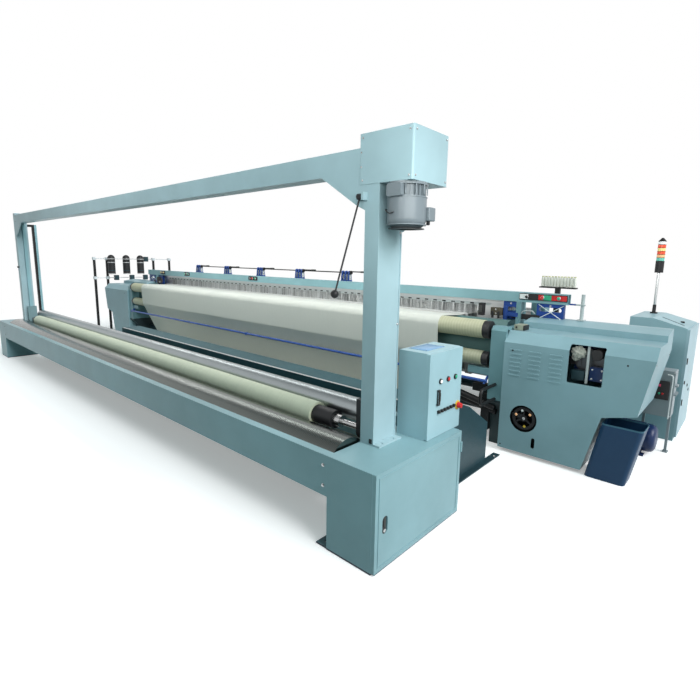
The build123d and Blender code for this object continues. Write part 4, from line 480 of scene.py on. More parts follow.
TEAL = (0.25, 0.40, 0.445)
BLACK = (0.012, 0.013, 0.014)
PALE = (0.62, 0.66, 0.68)
BUTTONS = {"red": (0.55, 0.02, 0.02), "pink": (0.72, 0.05, 0.12), "green": (0.03, 0.36, 0.20),
           "yellow": (0.62, 0.42, 0.04)}
LAMPS = {"red": (0.78, 0.09, 0.04, 0.25), "orange": (0.88, 0.45, 0.22, 0.25), "green": (0.16, 0.52, 0.42, 0.2),
         "yellow": (0.88, 0.66, 0.25, 0.25)}
FINISH_LIST: tuple[Finish, ...] = (
    Paint("loom_paint", TEAL),
    Paint("winder_paint", (0.225, 0.375, 0.41), zones=(Zone(Z, -0.01, 0.0105, (0.01, 0.018, 0.04)),)),
    Paint("post_paint", (0.34, 0.48, 0.52)),
    # Painted light: a lighter copy of the teal paint on the control box and its door, standing for the stronger
    # light that falls on them.
    Paint("control_paint", (0.33, 0.50, 0.55)),
    Paint("beam_paint", (0.235, 0.41, 0.445)),
    Paint("cabinet_paint", (0.30, 0.47, 0.52)),
    Paint("frame_paint", (0.16, 0.30, 0.33), zones=(Zone(Z, -0.01, 0.43, (0.03, 0.05, 0.055)),)),
    Paint("tread_paint", (0.022, 0.075, 0.09), 0.45, 0.12),
    Paint("dark_teal", (0.02, 0.05, 0.062), 0.42, 0.12),
    Paint("front_beam_paint", (0.10, 0.185, 0.18), 0.4),
    Paint("navy_paint", (0.012, 0.03, 0.10), 0.3),
    Paint("spreader_paint", (0.03, 0.09, 0.34), 0.3),
    Paint("door_paint", (0.36, 0.52, 0.58), zones=(Zone(X, 4.9195, 5.0, (0.012, 0.012, 0.013)),)),
    Paint("blue_paint", (0.02, 0.065, 0.27), 0.32, 0.14),
    Paint("casting_paint", (0.015, 0.06, 0.28), 0.3, 0.16, 0.0006,
          zones=(Zone(X, 4.15, 4.40, (0.42, 0.47, 0.47)),)),
    Paint("black_paint", BLACK, 0.38, 0.2),
    Paint("guard_paint", BLACK, 0.38, 0.2, zones=(Zone(X, -3.436, 3.70, (0.25, 0.43, 0.475)),)),
    Paint("stand_paint", (0.01, 0.011, 0.012), 0.4, 0.2,
          zones=(Zone(Z, 1.12, 1.181, PALE), Zone(Z, 1.525, 1.59, PALE))),
    Paint("grey_paint", (0.30, 0.34, 0.36), 0.42),
    Paint("motor_grey", (0.17, 0.20, 0.22), 0.3, 0.1, coat=0.3),
    Paint("beige_paint", (0.30, 0.32, 0.25), 0.45),
    Paint("cast_iron", (0.03, 0.032, 0.035), 0.5, 0.25, 0.0008, 0.0),
    Paint("carriage_iron", (0.03, 0.032, 0.035), 0.5, 0.25, 0.0008, 0.0,
          zones=(Zone(X, -6.0, -3.0, (0.17, 0.27, 0.29)),)),
    Paint("warm_iron", (0.10, 0.085, 0.06), 0.5, 0.3, 0.0008, 0.0),
    Paint("blue_plate", (0.16, 0.34, 0.56), 0.2),
    Steel("ground_steel", (0.50, 0.51, 0.50)),
    Steel("shaft_steel", (0.50, 0.51, 0.51), 0.22),
    Steel("bright_wire", (0.86, 0.87, 0.88), 0.5, Z, 0.00004, 0.1, 0.85),
    Steel("chrome", (0.34, 0.38, 0.39), 0.26, X, 0.00003, zones=(Zone(X, 3.655, BEYOND, (0.02, 0.02, 0.02)),)),
    Steel("aluminium", (0.62, 0.64, 0.64), 0.4),
    Steel("reed_steel", (0.72, 0.73, 0.73), 0.35, Z, 0.00003, 0.6),
    Steel("dark_steel", (0.09, 0.095, 0.10), 0.3),
    Ribbed("ribbed_drum", (0.16, 0.18, 0.17)),
    Lagging("breast_lagging", (0.50, 0.50, 0.34)),
    Lagging("takeup_lagging", (0.42, 0.43, 0.30)),
    Woven("cloth", (0.66, 0.675, 0.62)),
    Woven("wound_cloth", (0.76, 0.80, 0.62), 0.004, 0.0005, 0.14),
    Yarn("warp_yarn", (0.64, 0.64, 0.58)),
    Fluff("lint", (0.62, 0.62, 0.54)),
    Moulding("black_plastic", (0.012, 0.012, 0.013)),
    Moulding("tube_black", (0.014, 0.014, 0.016), 0.4),
    Moulding("grip_rubber", (0.05, 0.052, 0.05), 0.75, 0.0008),
    Moulding("bin_plastic", (0.002, 0.032, 0.085), 0.4, zones=(Zone(Z, 0.436, 0.47, (0.045, 0.13, 0.19)),)),
    Moulding("white_plastic", (0.72, 0.74, 0.73), 0.4),
    Moulding("cone_yarn", (0.78, 0.78, 0.70), 0.8, 0.0008, zones=(Zone(Z, 1.478, 1.52, (0.62, 0.62, 0.36)),)),
    Moulding("pale_plastic", (0.50, 0.53, 0.53), 0.45),
    Moulding("clear_lamp", (0.80, 0.80, 0.79), 0.15, 0.0001, 0.2),
    *(Moulding(f"{name}_button", colour, 0.3) for name, colour in BUTTONS.items()),
    *(Moulding(f"{name}_lamp", lamp[:3], 0.2, 0.0001, lamp[3]) for name, lamp in LAMPS.items()),
)
NODES_BY_FINISH: dict[str, str] = {
    "winder_paint": "winder_cabinet cabinet_door winder_frame", "control_paint": "control_box control_door",
    "post_paint": "right_post left_post crossbeam motor_housing", "motor_grey": "lift_motor",
    "guard_paint": "lift_rails", "carriage_iron": "roll_carriages", "shaft_steel": "roll_shaft",
    "dark_steel": "warp_beam receiver_unit", "tube_black": "batch_tube", "ribbed_drum": "front_drum",
    "chrome": "rear_roller", "ground_steel": "winder_guide_roller floor_roller back_rest",
    "red_button": "stop_button", "black_paint": "feeler_arm foot_rail bracket_levers",
    "tread_paint": "walkway_tread", "dark_teal": "walkway_supports cross_members",
    "frame_paint": "side_frames", "front_beam_paint": "breast_beam", "breast_lagging": "breast_roller",
    "takeup_lagging": "takeup_roller", "navy_paint": "drive_motor", "spreader_paint": "spreader_bar",
    "aluminium": "stop_rails sley heald_frame_1 heald_frame_2 heald_frame_3 heald_frame_4",
    "reed_steel": "reed", "beam_paint": "top_beam",
    "black_plastic": "button_stations hand_wheel weft_feeders bobbin_rack signal_beacon",
    "blue_paint": "lever_brackets", "loom_paint": "drive_cover left_cover", "casting_paint": "beam_castings",
    "bin_plastic": "waste_bin", "grey_paint": "operator_box", "cabinet_paint": "electric_cabinet",
    "door_paint": "electric_door", "stand_paint": "weft_stand",
}


class FinishBook:
    """Makes each finish's material once, when it is first asked for."""

    def __init__(self) -> None:
        """Starts empty."""
        self.finishes = {finish.name: finish for finish in FINISH_LIST}
        self.made: dict[str, bpy.types.Material] = {}

    def get(self, name: str) -> bpy.types.Material:
        """The material of a named finish."""
        if name not in self.made:
            self.made[name] = self.finishes[name].material()
        return self.made[name]


# Surfaces


def smooth_line(points: Sequence[Point], steps: int) -> np.ndarray:
    """A smooth line through places: a Catmull-Rom curve with steps places to a span."""
    held = np.asarray(points, float)
    ends = np.concatenate((2 * held[:1] - held[1:2], held, 2 * held[-1:] - held[-2:-1]))
    t = np.linspace(0.0, 1.0, steps, endpoint=False)[None, :, None]
    a, b, c, d = (ends[k:len(ends) - 3 + k, None] for k in range(4))
    curve = 0.5 * (2 * b + (c - a) * t + (2 * a - 5 * b + 4 * c - d) * t**2 + (3 * b - a - 3 * c + d) * t**3)
    return np.concatenate((curve.reshape(-1, 3), held[-1:]))


def travel(line: np.ndarray) -> np.ndarray:
    """The distance run along a line at each of its places."""
    return np.concatenate(((0.0,), np.cumsum(np.linalg.norm(np.diff(line, axis=0), axis=1))))


def unit(vectors: np.ndarray) -> np.ndarray:
    """Vectors brought to length one."""
    return vectors / np.linalg.norm(vectors, axis=-1, keepdims=True)


def stud(radius: float, straight: float, rim: float, top: float) -> Profile:
    """The profile of a button: its radius up to straight, then in to the rim at the top."""
    return ((0.0, radius), (straight, radius), (top, rim))


@dataclass
class Bundle:
    """Collects closed surfaces and makes one object of them, with the finish of each."""

    name: str
    points: list[np.ndarray] = field(default_factory=list)
    faces: list[np.ndarray] = field(default_factory=list)
    marks: list[np.ndarray] = field(default_factory=list)
    finishes: list[str] = field(default_factory=list)
    count: int = 0

    def take(self, points: np.ndarray, faces: np.ndarray, finish: str) -> None:
        """Adds n by 3 places and m by 4 indices, a triangle repeating its last one."""
        if finish not in self.finishes:
            self.finishes.append(finish)
        self.points.append(points)
        self.faces.append(faces + self.count)
        self.marks.append(np.full(len(faces), self.finishes.index(finish)))
        self.count += len(points)

    def close(self, quads: np.ndarray) -> None:
        """Adds quads between places that are there already, in the first finish."""
        self.faces.append(quads)
        self.marks.append(np.zeros(len(quads), int))

    def grid(self, points: np.ndarray, finish: str, wrap: bool = True, caps: bool = True) -> None:
        """Adds a grid of points joined as quads.

        Args:
            points: rows by columns by 3.
            finish: the name of its finish.
            wrap: joins the last column to the first.
            caps: closes the first and last rows with a fan to their middle.
        """
        rows, columns = points.shape[:2]
        index = np.arange(rows * columns).reshape(rows, columns)
        right = np.roll(index, -1, axis=1) if wrap else index[:, 1:]
        left = index if wrap else index[:, :-1]
        quads = np.stack((left[:-1], right[:-1], right[1:], left[1:]), -1).reshape(-1, 4)
        flat = points.reshape(-1, 3)
        if caps:
            first, last, tip = index[0], index[-1], np.full(columns, len(flat))
            low = np.stack((np.roll(first, -1), first, tip, tip), -1)
            high = np.stack((last, np.roll(last, -1), tip + 1, tip + 1), -1)
            flat = np.concatenate((flat, points[:1].mean(1), points[-1:].mean(1)))
            quads = np.concatenate((quads, low, high))
        self.take(flat, quads, finish)

    def turned(self, centre: Point, axis: Axis, profile: Profile, finish: str, sides: int = 32) -> None:
        """Adds a body of revolution: each profile pair is a distance outward along the axis
        and a radius, and each row of the grid is a circle of that radius at that distance."""
        pairs = np.asarray(profile, float)
        angle = np.linspace(0.0, 2.0 * np.pi, sides, endpoint=False)
        along = np.repeat(pairs[:, :1] * axis.outward, sides, 1)
        ring_a, ring_b = pairs[:, 1:] * np.cos(angle), pairs[:, 1:] * np.sin(angle)
        order = {X: (along, ring_a, ring_b), Y: (ring_b, along, ring_a), Z: (ring_a, ring_b, along)}
        self.grid(np.stack(order[axis], -1) + np.asarray(centre), finish)

    def slab(self, low: Point, high: Point, finish: str, edge: float) -> None:
        """Adds a box with rounded edges: a rounded rectangle in plan, swept up through six
        levels that step in by the edge radius at top and bottom."""
        low_a, high_a = np.minimum(low, high).astype(float), np.maximum(low, high).astype(float)
        edge = min(edge, float((high_a - low_a).min()) * 0.45)
        half = (high_a - low_a) / 2.0
        quarter = np.linspace(0.0, np.pi / 2.0, 4)
        corner = np.concatenate([quarter + k * np.pi / 2.0 for k in range(4)])
        sign = np.repeat(np.array(((1, 1), (-1, 1), (-1, -1), (1, -1))), 4, axis=0)
        tilt = np.linspace(-np.pi / 2.0, np.pi / 2.0, 6)
        reach = edge * np.cos(tilt)[:, None]
        xs = sign[:, 0] * (half[0] - edge) + reach * np.cos(corner)
        ys = sign[:, 1] * (half[1] - edge) + reach * np.sin(corner)
        rise = np.where(tilt < 0.0, -(half[2] - edge), half[2] - edge) + edge * np.sin(tilt)
        zs = np.repeat(rise[:, None], len(corner), 1)
        self.grid(np.stack((xs, ys, zs), -1) + (high_a + low_a) / 2.0, finish)

    def slabs(self, *rows: tuple[Any, ...]) -> None:
        """Adds rounded boxes given as low x, y, z, high x, y, z, edge, all in mm, and finish."""
        for *sizes, finish in rows:
            size = [part / MM_IN_M for part in sizes]
            self.slab(tuple(size[:3]), tuple(size[3:6]), finish, size[6])

    def tube(self, places: Sequence[Point], steps: int, radius: float, finish: str, sides: int = 10) -> None:
        """Adds a round tube along the smooth line through places: at each point of the line a
        circle stands square to it, in a frame whose first arm is the part of a fixed
        direction square to the line."""
        line = smooth_line(places, steps)
        ahead = unit(np.gradient(line, axis=0))
        fixed = np.array((0.31, 0.52, 0.79))
        first = unit(fixed - (ahead @ fixed)[:, None] * ahead)
        second = np.cross(ahead, first)
        angle = np.linspace(0.0, 2.0 * np.pi, sides, endpoint=False)[None, :, None]
        ring = np.cos(angle) * first[:, None] + np.sin(angle) * second[:, None]
        self.grid(line[:, None] + radius * ring, finish)

    def boxes(self, xs: np.ndarray, y: float, z: float, size: Point, finish: str) -> None:
        """Adds a row of equal small boxes: the eight corners of each are its centre plus or
        minus half the size."""
        centres = np.stack(np.broadcast_arrays(xs, y, z), -1)
        corners = np.array([(i, j, k) for k in (-1, 1) for j in (-1, 1) for i in (-1, 1)]) * np.asarray(size) / 2.0
        sides = np.array(((0, 2, 3, 1), (4, 5, 7, 6), (0, 1, 5, 4), (2, 6, 7, 3), (0, 4, 6, 2), (1, 3, 7, 5)))
        faces = (np.arange(len(centres))[:, None, None] * 8 + sides[None]).reshape(-1, 4)
        self.take((centres[:, None] + corners[None]).reshape(-1, 3), faces, finish)

    def bolt(self, centre: Point, axis: Axis, size: float, finish: str = "shaft_steel") -> None:
        """Adds a hexagon bolt head on a washer."""
        washer = ((0.0, 0.2), (0.0, 1.15), (0.16, 1.15), (0.18, 0.2))
        head = ((0.17, 0.85), (0.72, 0.85), (0.86, 0.66))
        for profile, sides in ((washer, 24), (head, 6)):
            self.turned(centre, axis, np.array(profile) * size, finish, sides)

    def build(self, body: str, book: FinishBook) -> bpy.types.Object:
        """Makes the object, dresses it from the book and lets it ride on a CAD body."""
        mesh = bpy.data.meshes.new(self.name)
        faces = np.concatenate(self.faces)
        triangle = faces[:, 2] == faces[:, 3]
        lists = [tuple(f[:3]) if t else tuple(f) for f, t in zip(faces.tolist(), triangle.tolist())]
        mesh.from_pydata(np.concatenate(self.points).tolist(), [], lists)
        for finish in self.finishes:
            mesh.materials.append(book.get(finish))
        mesh.polygons.foreach_set("material_index", np.concatenate(self.marks).astype(np.int32))
        shape = bmesh.new()
        shape.from_mesh(mesh)
        bmesh.ops.recalc_face_normals(shape, faces=shape.faces)
        shape.to_mesh(mesh)
        shape.free()
        mesh.polygons.foreach_set("use_smooth", np.ones(len(mesh.polygons), bool))
        mesh.set_sharp_from_angle(angle=SHARP_ANGLE)
        piece = bpy.data.objects.new(self.name, mesh)
        bpy.context.scene.collection.objects.link(piece)
        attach(piece, body)
        LOG.info("%s: %d faces", self.name, len(lists))
        return piece


def face_corners(piece: bpy.types.Object) -> np.ndarray:
    """The vertex index of every face corner."""
    corners = np.empty(len(piece.data.loops), np.int32)
    piece.data.loops.foreach_get("vertex_index", corners)
    return corners


def lay_out(piece: bpy.types.Object, places: np.ndarray) -> None:
    """Writes the "lay" map: a place in metres for each face corner."""
    lay = piece.data.uv_layers.new(name="lay")
    lay.data.foreach_set("uv", places.astype(np.float32).ravel())


# The cloth's way through the machine


@dataclass(frozen=True)
class Roller:
    """A circle the web touches, in the Y-Z plane: centre, radius to the web's middle, and
    side 1 where it lies left of the way of travel or -1 where it lies right."""

    y: float
    z: float
    radius: float
    side: int


@dataclass
class WebPath:
    """The line of the cloth's middle surface in the Y-Z plane.

    Straight runs touch two circles each: with d the distance of the centres and
    c the difference of the signed radii, the run turns from the line of centres by
    atan2(c, sqrt(d*d - c*c)). Arcs join one run's normal to the next one's.
    """

    rollers: Sequence[Roller]
    last: tuple[float, float]
    step: float = 0.03

    def _run(self, first: Roller, second: Roller) -> tuple[np.ndarray, np.ndarray, float]:
        """The two ends of a run and its normal's angle."""
        dy, dz = second.y - first.y, second.z - first.z
        across = second.side * second.radius - first.side * first.radius
        turn = math.atan2(dz, dy) - math.atan2(across, math.sqrt(dy * dy + dz * dz - across * across))
        normal = np.array((-math.sin(turn), math.cos(turn)))
        start = np.array((first.y, first.z)) - first.side * first.radius * normal
        end = np.array((second.y, second.z)) - second.side * second.radius * normal
        return start, end, math.atan2(normal[1], normal[0])

    def points(self) -> np.ndarray:
        """The path as n by 2 places, y and z, about a step apart on a straight run."""
        runs = [self._run(a, b) for a, b in zip(self.rollers, self.rollers[1:])]
        closing = self.rollers[-1]
        leave = math.atan2(-self.last[1] * closing.side, -self.last[0] * closing.side)
        angles = [run[2] for run in runs[1:]] + [leave]
        line: list[np.ndarray] = []
        for (start, end, angle), after, roller in zip(runs, angles, self.rollers[1:]):
            count = max(2, int(np.linalg.norm(end - start) / self.step))
            line.append(start + (end - start) * np.linspace(0.0, 1.0, count, endpoint=False)[:, None])
            sweep = (after - angle) * roller.side % (2.0 * math.pi)
            arc = angle + roller.side * np.linspace(0.0, sweep, max(4, int(sweep / 0.07)), endpoint=False)
            reach = -roller.side * roller.radius
            line.append(np.stack((roller.y + reach * np.cos(arc), roller.z + reach * np.sin(arc)), -1))
        tail = (closing.y + self.last[0] * closing.radius, closing.z + self.last[1] * closing.radius)
        return np.concatenate((*line, np.array((tail,))))


@dataclass
class Sheeting:
    """Thin goods that follow a path in the Y-Z plane and lie flat across X, from -half to
    half, in columns; shift moves each row of the path aside. Runs longer than span are free
    to sag by slack, and the hems are hem wide."""

    name: str
    path: np.ndarray
    half: float
    thick: float
    finish: str
    slack: float = 0.0
    shift: np.ndarray | float = 0.0
    columns: int = 160
    span: float = 0.03
    hem: float = 0.012

    def length(self) -> float:
        """The path's length in metres."""
        return float(travel(self.path)[-1])

    def build(self, body: str, book: FinishBook) -> bpy.types.Object:
        """Makes the sheet as a closed thin skin.

        Its middle surface is the path carried along X. On the free runs it sags by slack
        times a product of two slow waves, and the hem at each edge is half as thick again.
        The "lay" map counts metres across and along.

        Args:
            body: the CAD body it rides on.
            book: where its finish comes from.

        Returns:
            The new object.
        """
        rows, columns = len(self.path), self.columns
        ahead = unit(np.gradient(self.path, axis=0))
        normal = np.stack((-ahead[:, 1], ahead[:, 0]), -1)
        along = travel(self.path)
        steps = np.diff(along)
        across = np.linspace(-self.half, self.half, columns)
        free = np.minimum(1.0, np.concatenate(((0.0,), np.minimum(steps[:-1], steps[1:]), (0.0,))) / self.span)
        wave = np.sin(along[:, None] * 3.1 + across * 1.7) * np.sin(across * 5.3 - along[:, None] * 1.3)
        swell = 1.0 + 0.5 * (self.half - np.abs(across) < self.hem)
        aside = np.broadcast_to(self.shift, (rows,))[:, None]

        def skin(sign: float) -> np.ndarray:
            """One face of the skin, half the thickness off the middle surface."""
            offset = self.slack * free[:, None] * wave + sign * self.thick / 2.0 * swell
            place = self.path[:, None] + offset[..., None] * normal[:, None]
            return np.concatenate(((across + aside)[..., None], place), -1)

        bundle = Bundle(self.name)
        bundle.grid(np.concatenate((skin(1.0), skin(-1.0)[:, ::-1]), 1), self.finish, caps=False)
        index = np.arange(rows * columns * 2).reshape(rows, columns * 2)
        for row, flip in ((0, 1), (-1, -1)):
            top, under = index[row, :columns], index[row, columns:][::-1]
            bundle.close(np.stack((top[:-1], top[1:], under[1:], under[:-1])[::flip], -1))
        piece = bundle.build(body, book)
        both = np.concatenate((across, across[::-1]))
        flat = np.stack(np.broadcast_arrays(both, along[:, None]), -1).reshape(-1, 2)
        lay_out(piece, flat[face_corners(piece)])
        return piece


@dataclass
class WoundGoods:
    """A roll of cloth or yarn: a barrel whose two ends show the layers as fine steps. It
    reaches half to each side of middle, and from the core out to radius, which its slow
    waves of height wave stay under; the surface starts edge in from the ends."""

    name: str
    centre: tuple[float, float]
    half: float
    radius: float
    core: float
    finish: str
    layers: int
    wander: float
    middle: float = 0.0
    sides: int = 72
    columns: int = 240
    wave: float = 0.0005
    edge: float = 0.004

    def build(self, body: str, book: FinishBook) -> bpy.types.Object:
        """Makes the roll.

        A profile runs from the core out over one end, along the surface and back in over
        the other end. On an end the place along X steps in and out by a fraction of wander
        from one layer to the next; on the surface the radius swells by slow waves. The
        profile is turned about X.

        Args:
            body: the CAD body it rides on.
            book: where its finish comes from.

        Returns:
            The new object.
        """
        sides, skin = self.sides, self.radius - 1.2 * self.wave
        ring = np.linspace(self.core, skin, self.layers * 2)
        order = np.arange(len(ring))
        step = self.half - self.wander * (0.5 + 0.5 * np.sin(order * 2.4)) - self.wander * (order % 2)
        span = np.linspace(self.edge - self.half, self.half - self.edge, self.columns)
        swell = skin + self.wave * np.sin(span * 9.0) * np.sin(span * 2.3 + 0.6)
        along = np.concatenate((-step, span, step[::-1]))
        away = np.concatenate((ring, swell, ring[::-1]))
        angle = np.linspace(0.0, 2.0 * np.pi, sides + 1)
        ys = self.centre[0] + away[:, None] * np.cos(angle)
        zs = self.centre[1] + away[:, None] * np.sin(angle)
        turned = np.stack(np.broadcast_arrays(self.middle + along[:, None], ys, zs), -1)
        bundle = Bundle(self.name)
        bundle.grid(turned[:, :-1], self.finish, caps=False)
        index = np.arange(len(along) * sides).reshape(len(along), sides)
        low, high = index[0], index[-1]
        bundle.close(np.stack((np.roll(low, -1), low, high, np.roll(high, -1)), -1))
        piece = bundle.build(body, book)
        run = travel(np.stack((along, away), -1))
        inside = np.abs(along) < self.half - 0.875 * self.edge
        across = np.where(inside, along, np.sign(along) * run)
        corners = face_corners(piece).reshape(-1, 4)
        column = corners % sides
        past = (column == 0) & (column[:, :2] > sides / 2).any(1, keepdims=True)
        around = (angle * self.radius)[np.where(past, sides, column)]
        lay_out(piece, np.stack((across[corners // sides], around), -1))
        return piece


# Sub-assemblies


@dataclass
class CarriedSolids:
    """Gives every shown CAD node its finish."""

    frame: Mapping[str, Any]
    book: FinishBook

    def build(self) -> None:
        """Dresses the nodes."""
        count = 0
        for finish, nodes in NODES_BY_FINISH.items():
            for node in nodes.split():
                solid = self.frame["nodes"][node]
                solid.data.materials.clear()
                solid.data.materials.append(self.book.get(finish))
                for slot in solid.material_slots:
                    slot.link = "DATA"
                count += 1
        LOG.info("dressed %d nodes", count)


class Probe:
    """Finds where a line along an axis first meets a CAD node."""

    def __init__(self, frame: Mapping[str, Any]) -> None:
        """Keeps the frame; trees are made when first asked for."""
        self.nodes = frame["nodes"]
        self.trees: dict[str, BVHTree] = {}

    def seat(self, node: str, place: Point, axis: Axis) -> Point | None:
        """The place moved along the axis onto the node's outer face.

        Args:
            node: the CAD node.
            place: the place, whose part along the axis is free.
            axis: the direction of the line, which comes from the axis's outward side.

        Returns:
            The seat, or None where the line misses the node.
        """
        solid = self.nodes[node]
        if node not in self.trees:
            self.trees[node] = BVHTree.FromObject(solid, bpy.context.evaluated_depsgraph_get())
        start = Vector(place)
        start[axis.value] = FAR_OFF * axis.outward
        ahead = Vector((0.0, 0.0, 0.0))
        ahead[axis.value] = -axis.outward
        back = solid.matrix_world.inverted()
        hit = self.trees[node].ray_cast(back @ start, back.to_3x3() @ ahead)[0]
        if hit is None:
            LOG.warning("no seat on %s at %s", node, place)
            return None
        return tuple(solid.matrix_world @ hit)


def piece(name: str, body: str = ROOT) -> Callable[[Callable[..., None]], Callable[..., None]]:
    """Marks a method that fills a bundle with the piece's name and the CAD body it rides on."""

    def mark(method: Callable[..., None]) -> Callable[..., None]:
        """Keeps both with the method."""
        method.piece = (name, body)
        return method

    return mark


@dataclass
class SubAssembly:
    """A group of pieces, one for each marked method, in the order of the methods."""

    probe: Probe
    book: FinishBook

    def build(self) -> None:
        """Fills and builds the marked pieces."""
        for method in vars(type(self)).values():
            if hasattr(method, "piece"):
                name, body = method.piece
                bundle = Bundle(name)
                method(self, bundle)
                bundle.build(body, self.book)


@dataclass(frozen=True)
class BoltRow:
    """Equal bolts on one CAD node, at places whose part along the axis is free."""

    node: str
    axis: Axis
    size: float
    places: Iterable[Point]
    finish: str = "shaft_steel"


@dataclass
class Fasteners(SubAssembly):
    """Bolts and screws on the frames, covers and feet."""

    def rows(self) -> tuple[BoltRow, ...]:
        """Where the bolts are."""
        free = (0.0,)
        posts = (-3.40, 3.655)
        feet = tuple((-5.27 + 0.06 * math.cos(turn), y + 0.06 * math.sin(turn), 0.0)
                     for y in (-0.4, -0.15, 0.86, 1.24) for turn in (0.5, 2.6, 4.7))
        return (
            BoltRow("right_post", X, 0.007, product(free, (-1.922,), (1.778, 1.256))),
            BoltRow("crossbeam", Y, 0.007, product(posts, free, (2.115, 2.19))),
            BoltRow("motor_housing", Y, 0.005, product((3.665, 3.970), free, (2.045, 2.262))),
            BoltRow("motor_housing", X, 0.005, product(free, (-2.105, -1.822), (2.045, 2.262))),
            BoltRow("winder_frame", Y, 0.009, product(posts, free, (0.38, 0.50))),
            BoltRow("walkway_supports", Z, 0.009, product((3.832,), (-1.33, -0.55), free)),
            BoltRow("drive_cover", Y, 0.006, ((4.701, 0.0, 0.908), (3.854, 0.0, 0.9), (3.80, 0.0, 0.06)),
                    "black_plastic"),
            BoltRow("drive_cover", X, 0.005, product(free, (-0.33, 0.24), (0.60, 0.93))),
            BoltRow("left_cover", Y, 0.006, product((-4.701, -3.9), free, (0.908,)), "black_plastic"),
            BoltRow("operator_box", Y, 0.004, product((4.685, 4.895), free, (0.36, 0.74))),
            BoltRow("breast_beam", Y, 0.007, product(np.linspace(-3.4, 3.4, 9).tolist(), free, (0.955,))),
            BoltRow("beam_castings", Y, 0.008, product((-3.935, -3.567, 3.567, 3.935), free, (1.2, 1.24))),
            BoltRow("weft_stand", Z, 0.007, feet),
        )

    @piece("frame_fasteners")
    def bolts(self, bundle: Bundle) -> None:
        """Seats every bolt on its node."""
        for row in self.rows():
            for place in row.places:
                seat = self.probe.seat(row.node, place, row.axis)
                if seat is not None:
                    bundle.bolt(seat, row.axis, row.size, row.finish)


@dataclass
class ClothGoods(SubAssembly):
    """Cloth web, warp sheet, shed, cloth roll and warp on its beam. The cloth lies at the
    height line, reaches half to each side, and has moved aside by drift at the winder."""

    line: float = 1.1001
    half: float = 3.125
    drift: float = 0.095
    roll_centre: tuple[float, float] = (-2.02538, 0.60137)
    beam_centre: tuple[float, float] = (1.15, 0.545)

    def level(self, start: float, end: float, count: int) -> np.ndarray:
        """A path of count places at the cloth's height."""
        return np.stack((np.linspace(start, end, count), np.full(count, self.line)), -1)

    def web(self) -> None:
        """The woven cloth from the fell, round the rollers and over the floor to the winder."""
        rollers = (
            Roller(0.06, self.line, 0.0, 1),
            Roller(-0.3, 1.038, 0.0831, 1),
            Roller(-0.3, 0.778, 0.0671, 1),
            Roller(-0.112, 0.1, 0.0461, -1),
            Roller(-1.8, 0.1, 0.0461, -1),
            Roller(-2.21, 0.44, 0.1661, 1),
        )
        nip = unit(np.array(self.roll_centre) - (rollers[-1].y, rollers[-1].z))
        path = WebPath(rollers, tuple(nip.tolist())).points()
        aside = np.interp(path[:, 0], (-1.6, -0.5), (self.drift, 0.0))
        cloth = Sheeting("cloth_sheet", path, self.half, 0.0014, "cloth", 0.0006, aside)
        piece = cloth.build(ROOT, self.book)
        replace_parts(piece, "cloth_web")
        2 * self.half
        cloth.length()
        LOG.info("cloth web %.3f m long", cloth.length())

    def warp(self) -> None:
        """The warp from its beam over the back rest to the healds, and on to the fell."""
        rollers = (Roller(*self.beam_centre, 0.3011, 1), Roller(1.08, 1.039, 0.0611, 1))
        rise = WebPath(rollers, (0.0, 1.0)).points()
        path = np.concatenate((rise, self.level(rise[-1, 0], 0.412, 24)[1:]))
        ends = Sheeting("warp_ends", path, self.half, 0.0014, "warp_yarn", 0.0003)
        piece = ends.build(ROOT, self.book)
        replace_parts(piece, "warp_sheet")
        2 * self.half
        ends.length()
        LOG.info("warp sheet %.3f m long", ends.length())
        shed = Sheeting("shed_yarns", self.level(0.4115, 0.0612, 14), self.half, 0.0011, "warp_yarn")
        piece = shed.build(ROOT, self.book)
        2 * self.half
        shed.length()

    def build(self) -> None:
        """Makes the cloth and yarn pieces."""
        self.web()
        self.warp()
        roll = WoundGoods("cloth_on_roll", self.roll_centre, self.half, 0.078, 0.0602, "wound_cloth",
                          9, 0.0015, self.drift)
        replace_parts(roll.build("roll_body", self.book), "cloth_roll")
        wound = WoundGoods("yarn_on_beam", self.beam_centre, 3.2295, 0.3, 0.1103, "warp_yarn", 40, 0.0008)
        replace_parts(wound.build("warp_body", self.book), "warp_yarn")


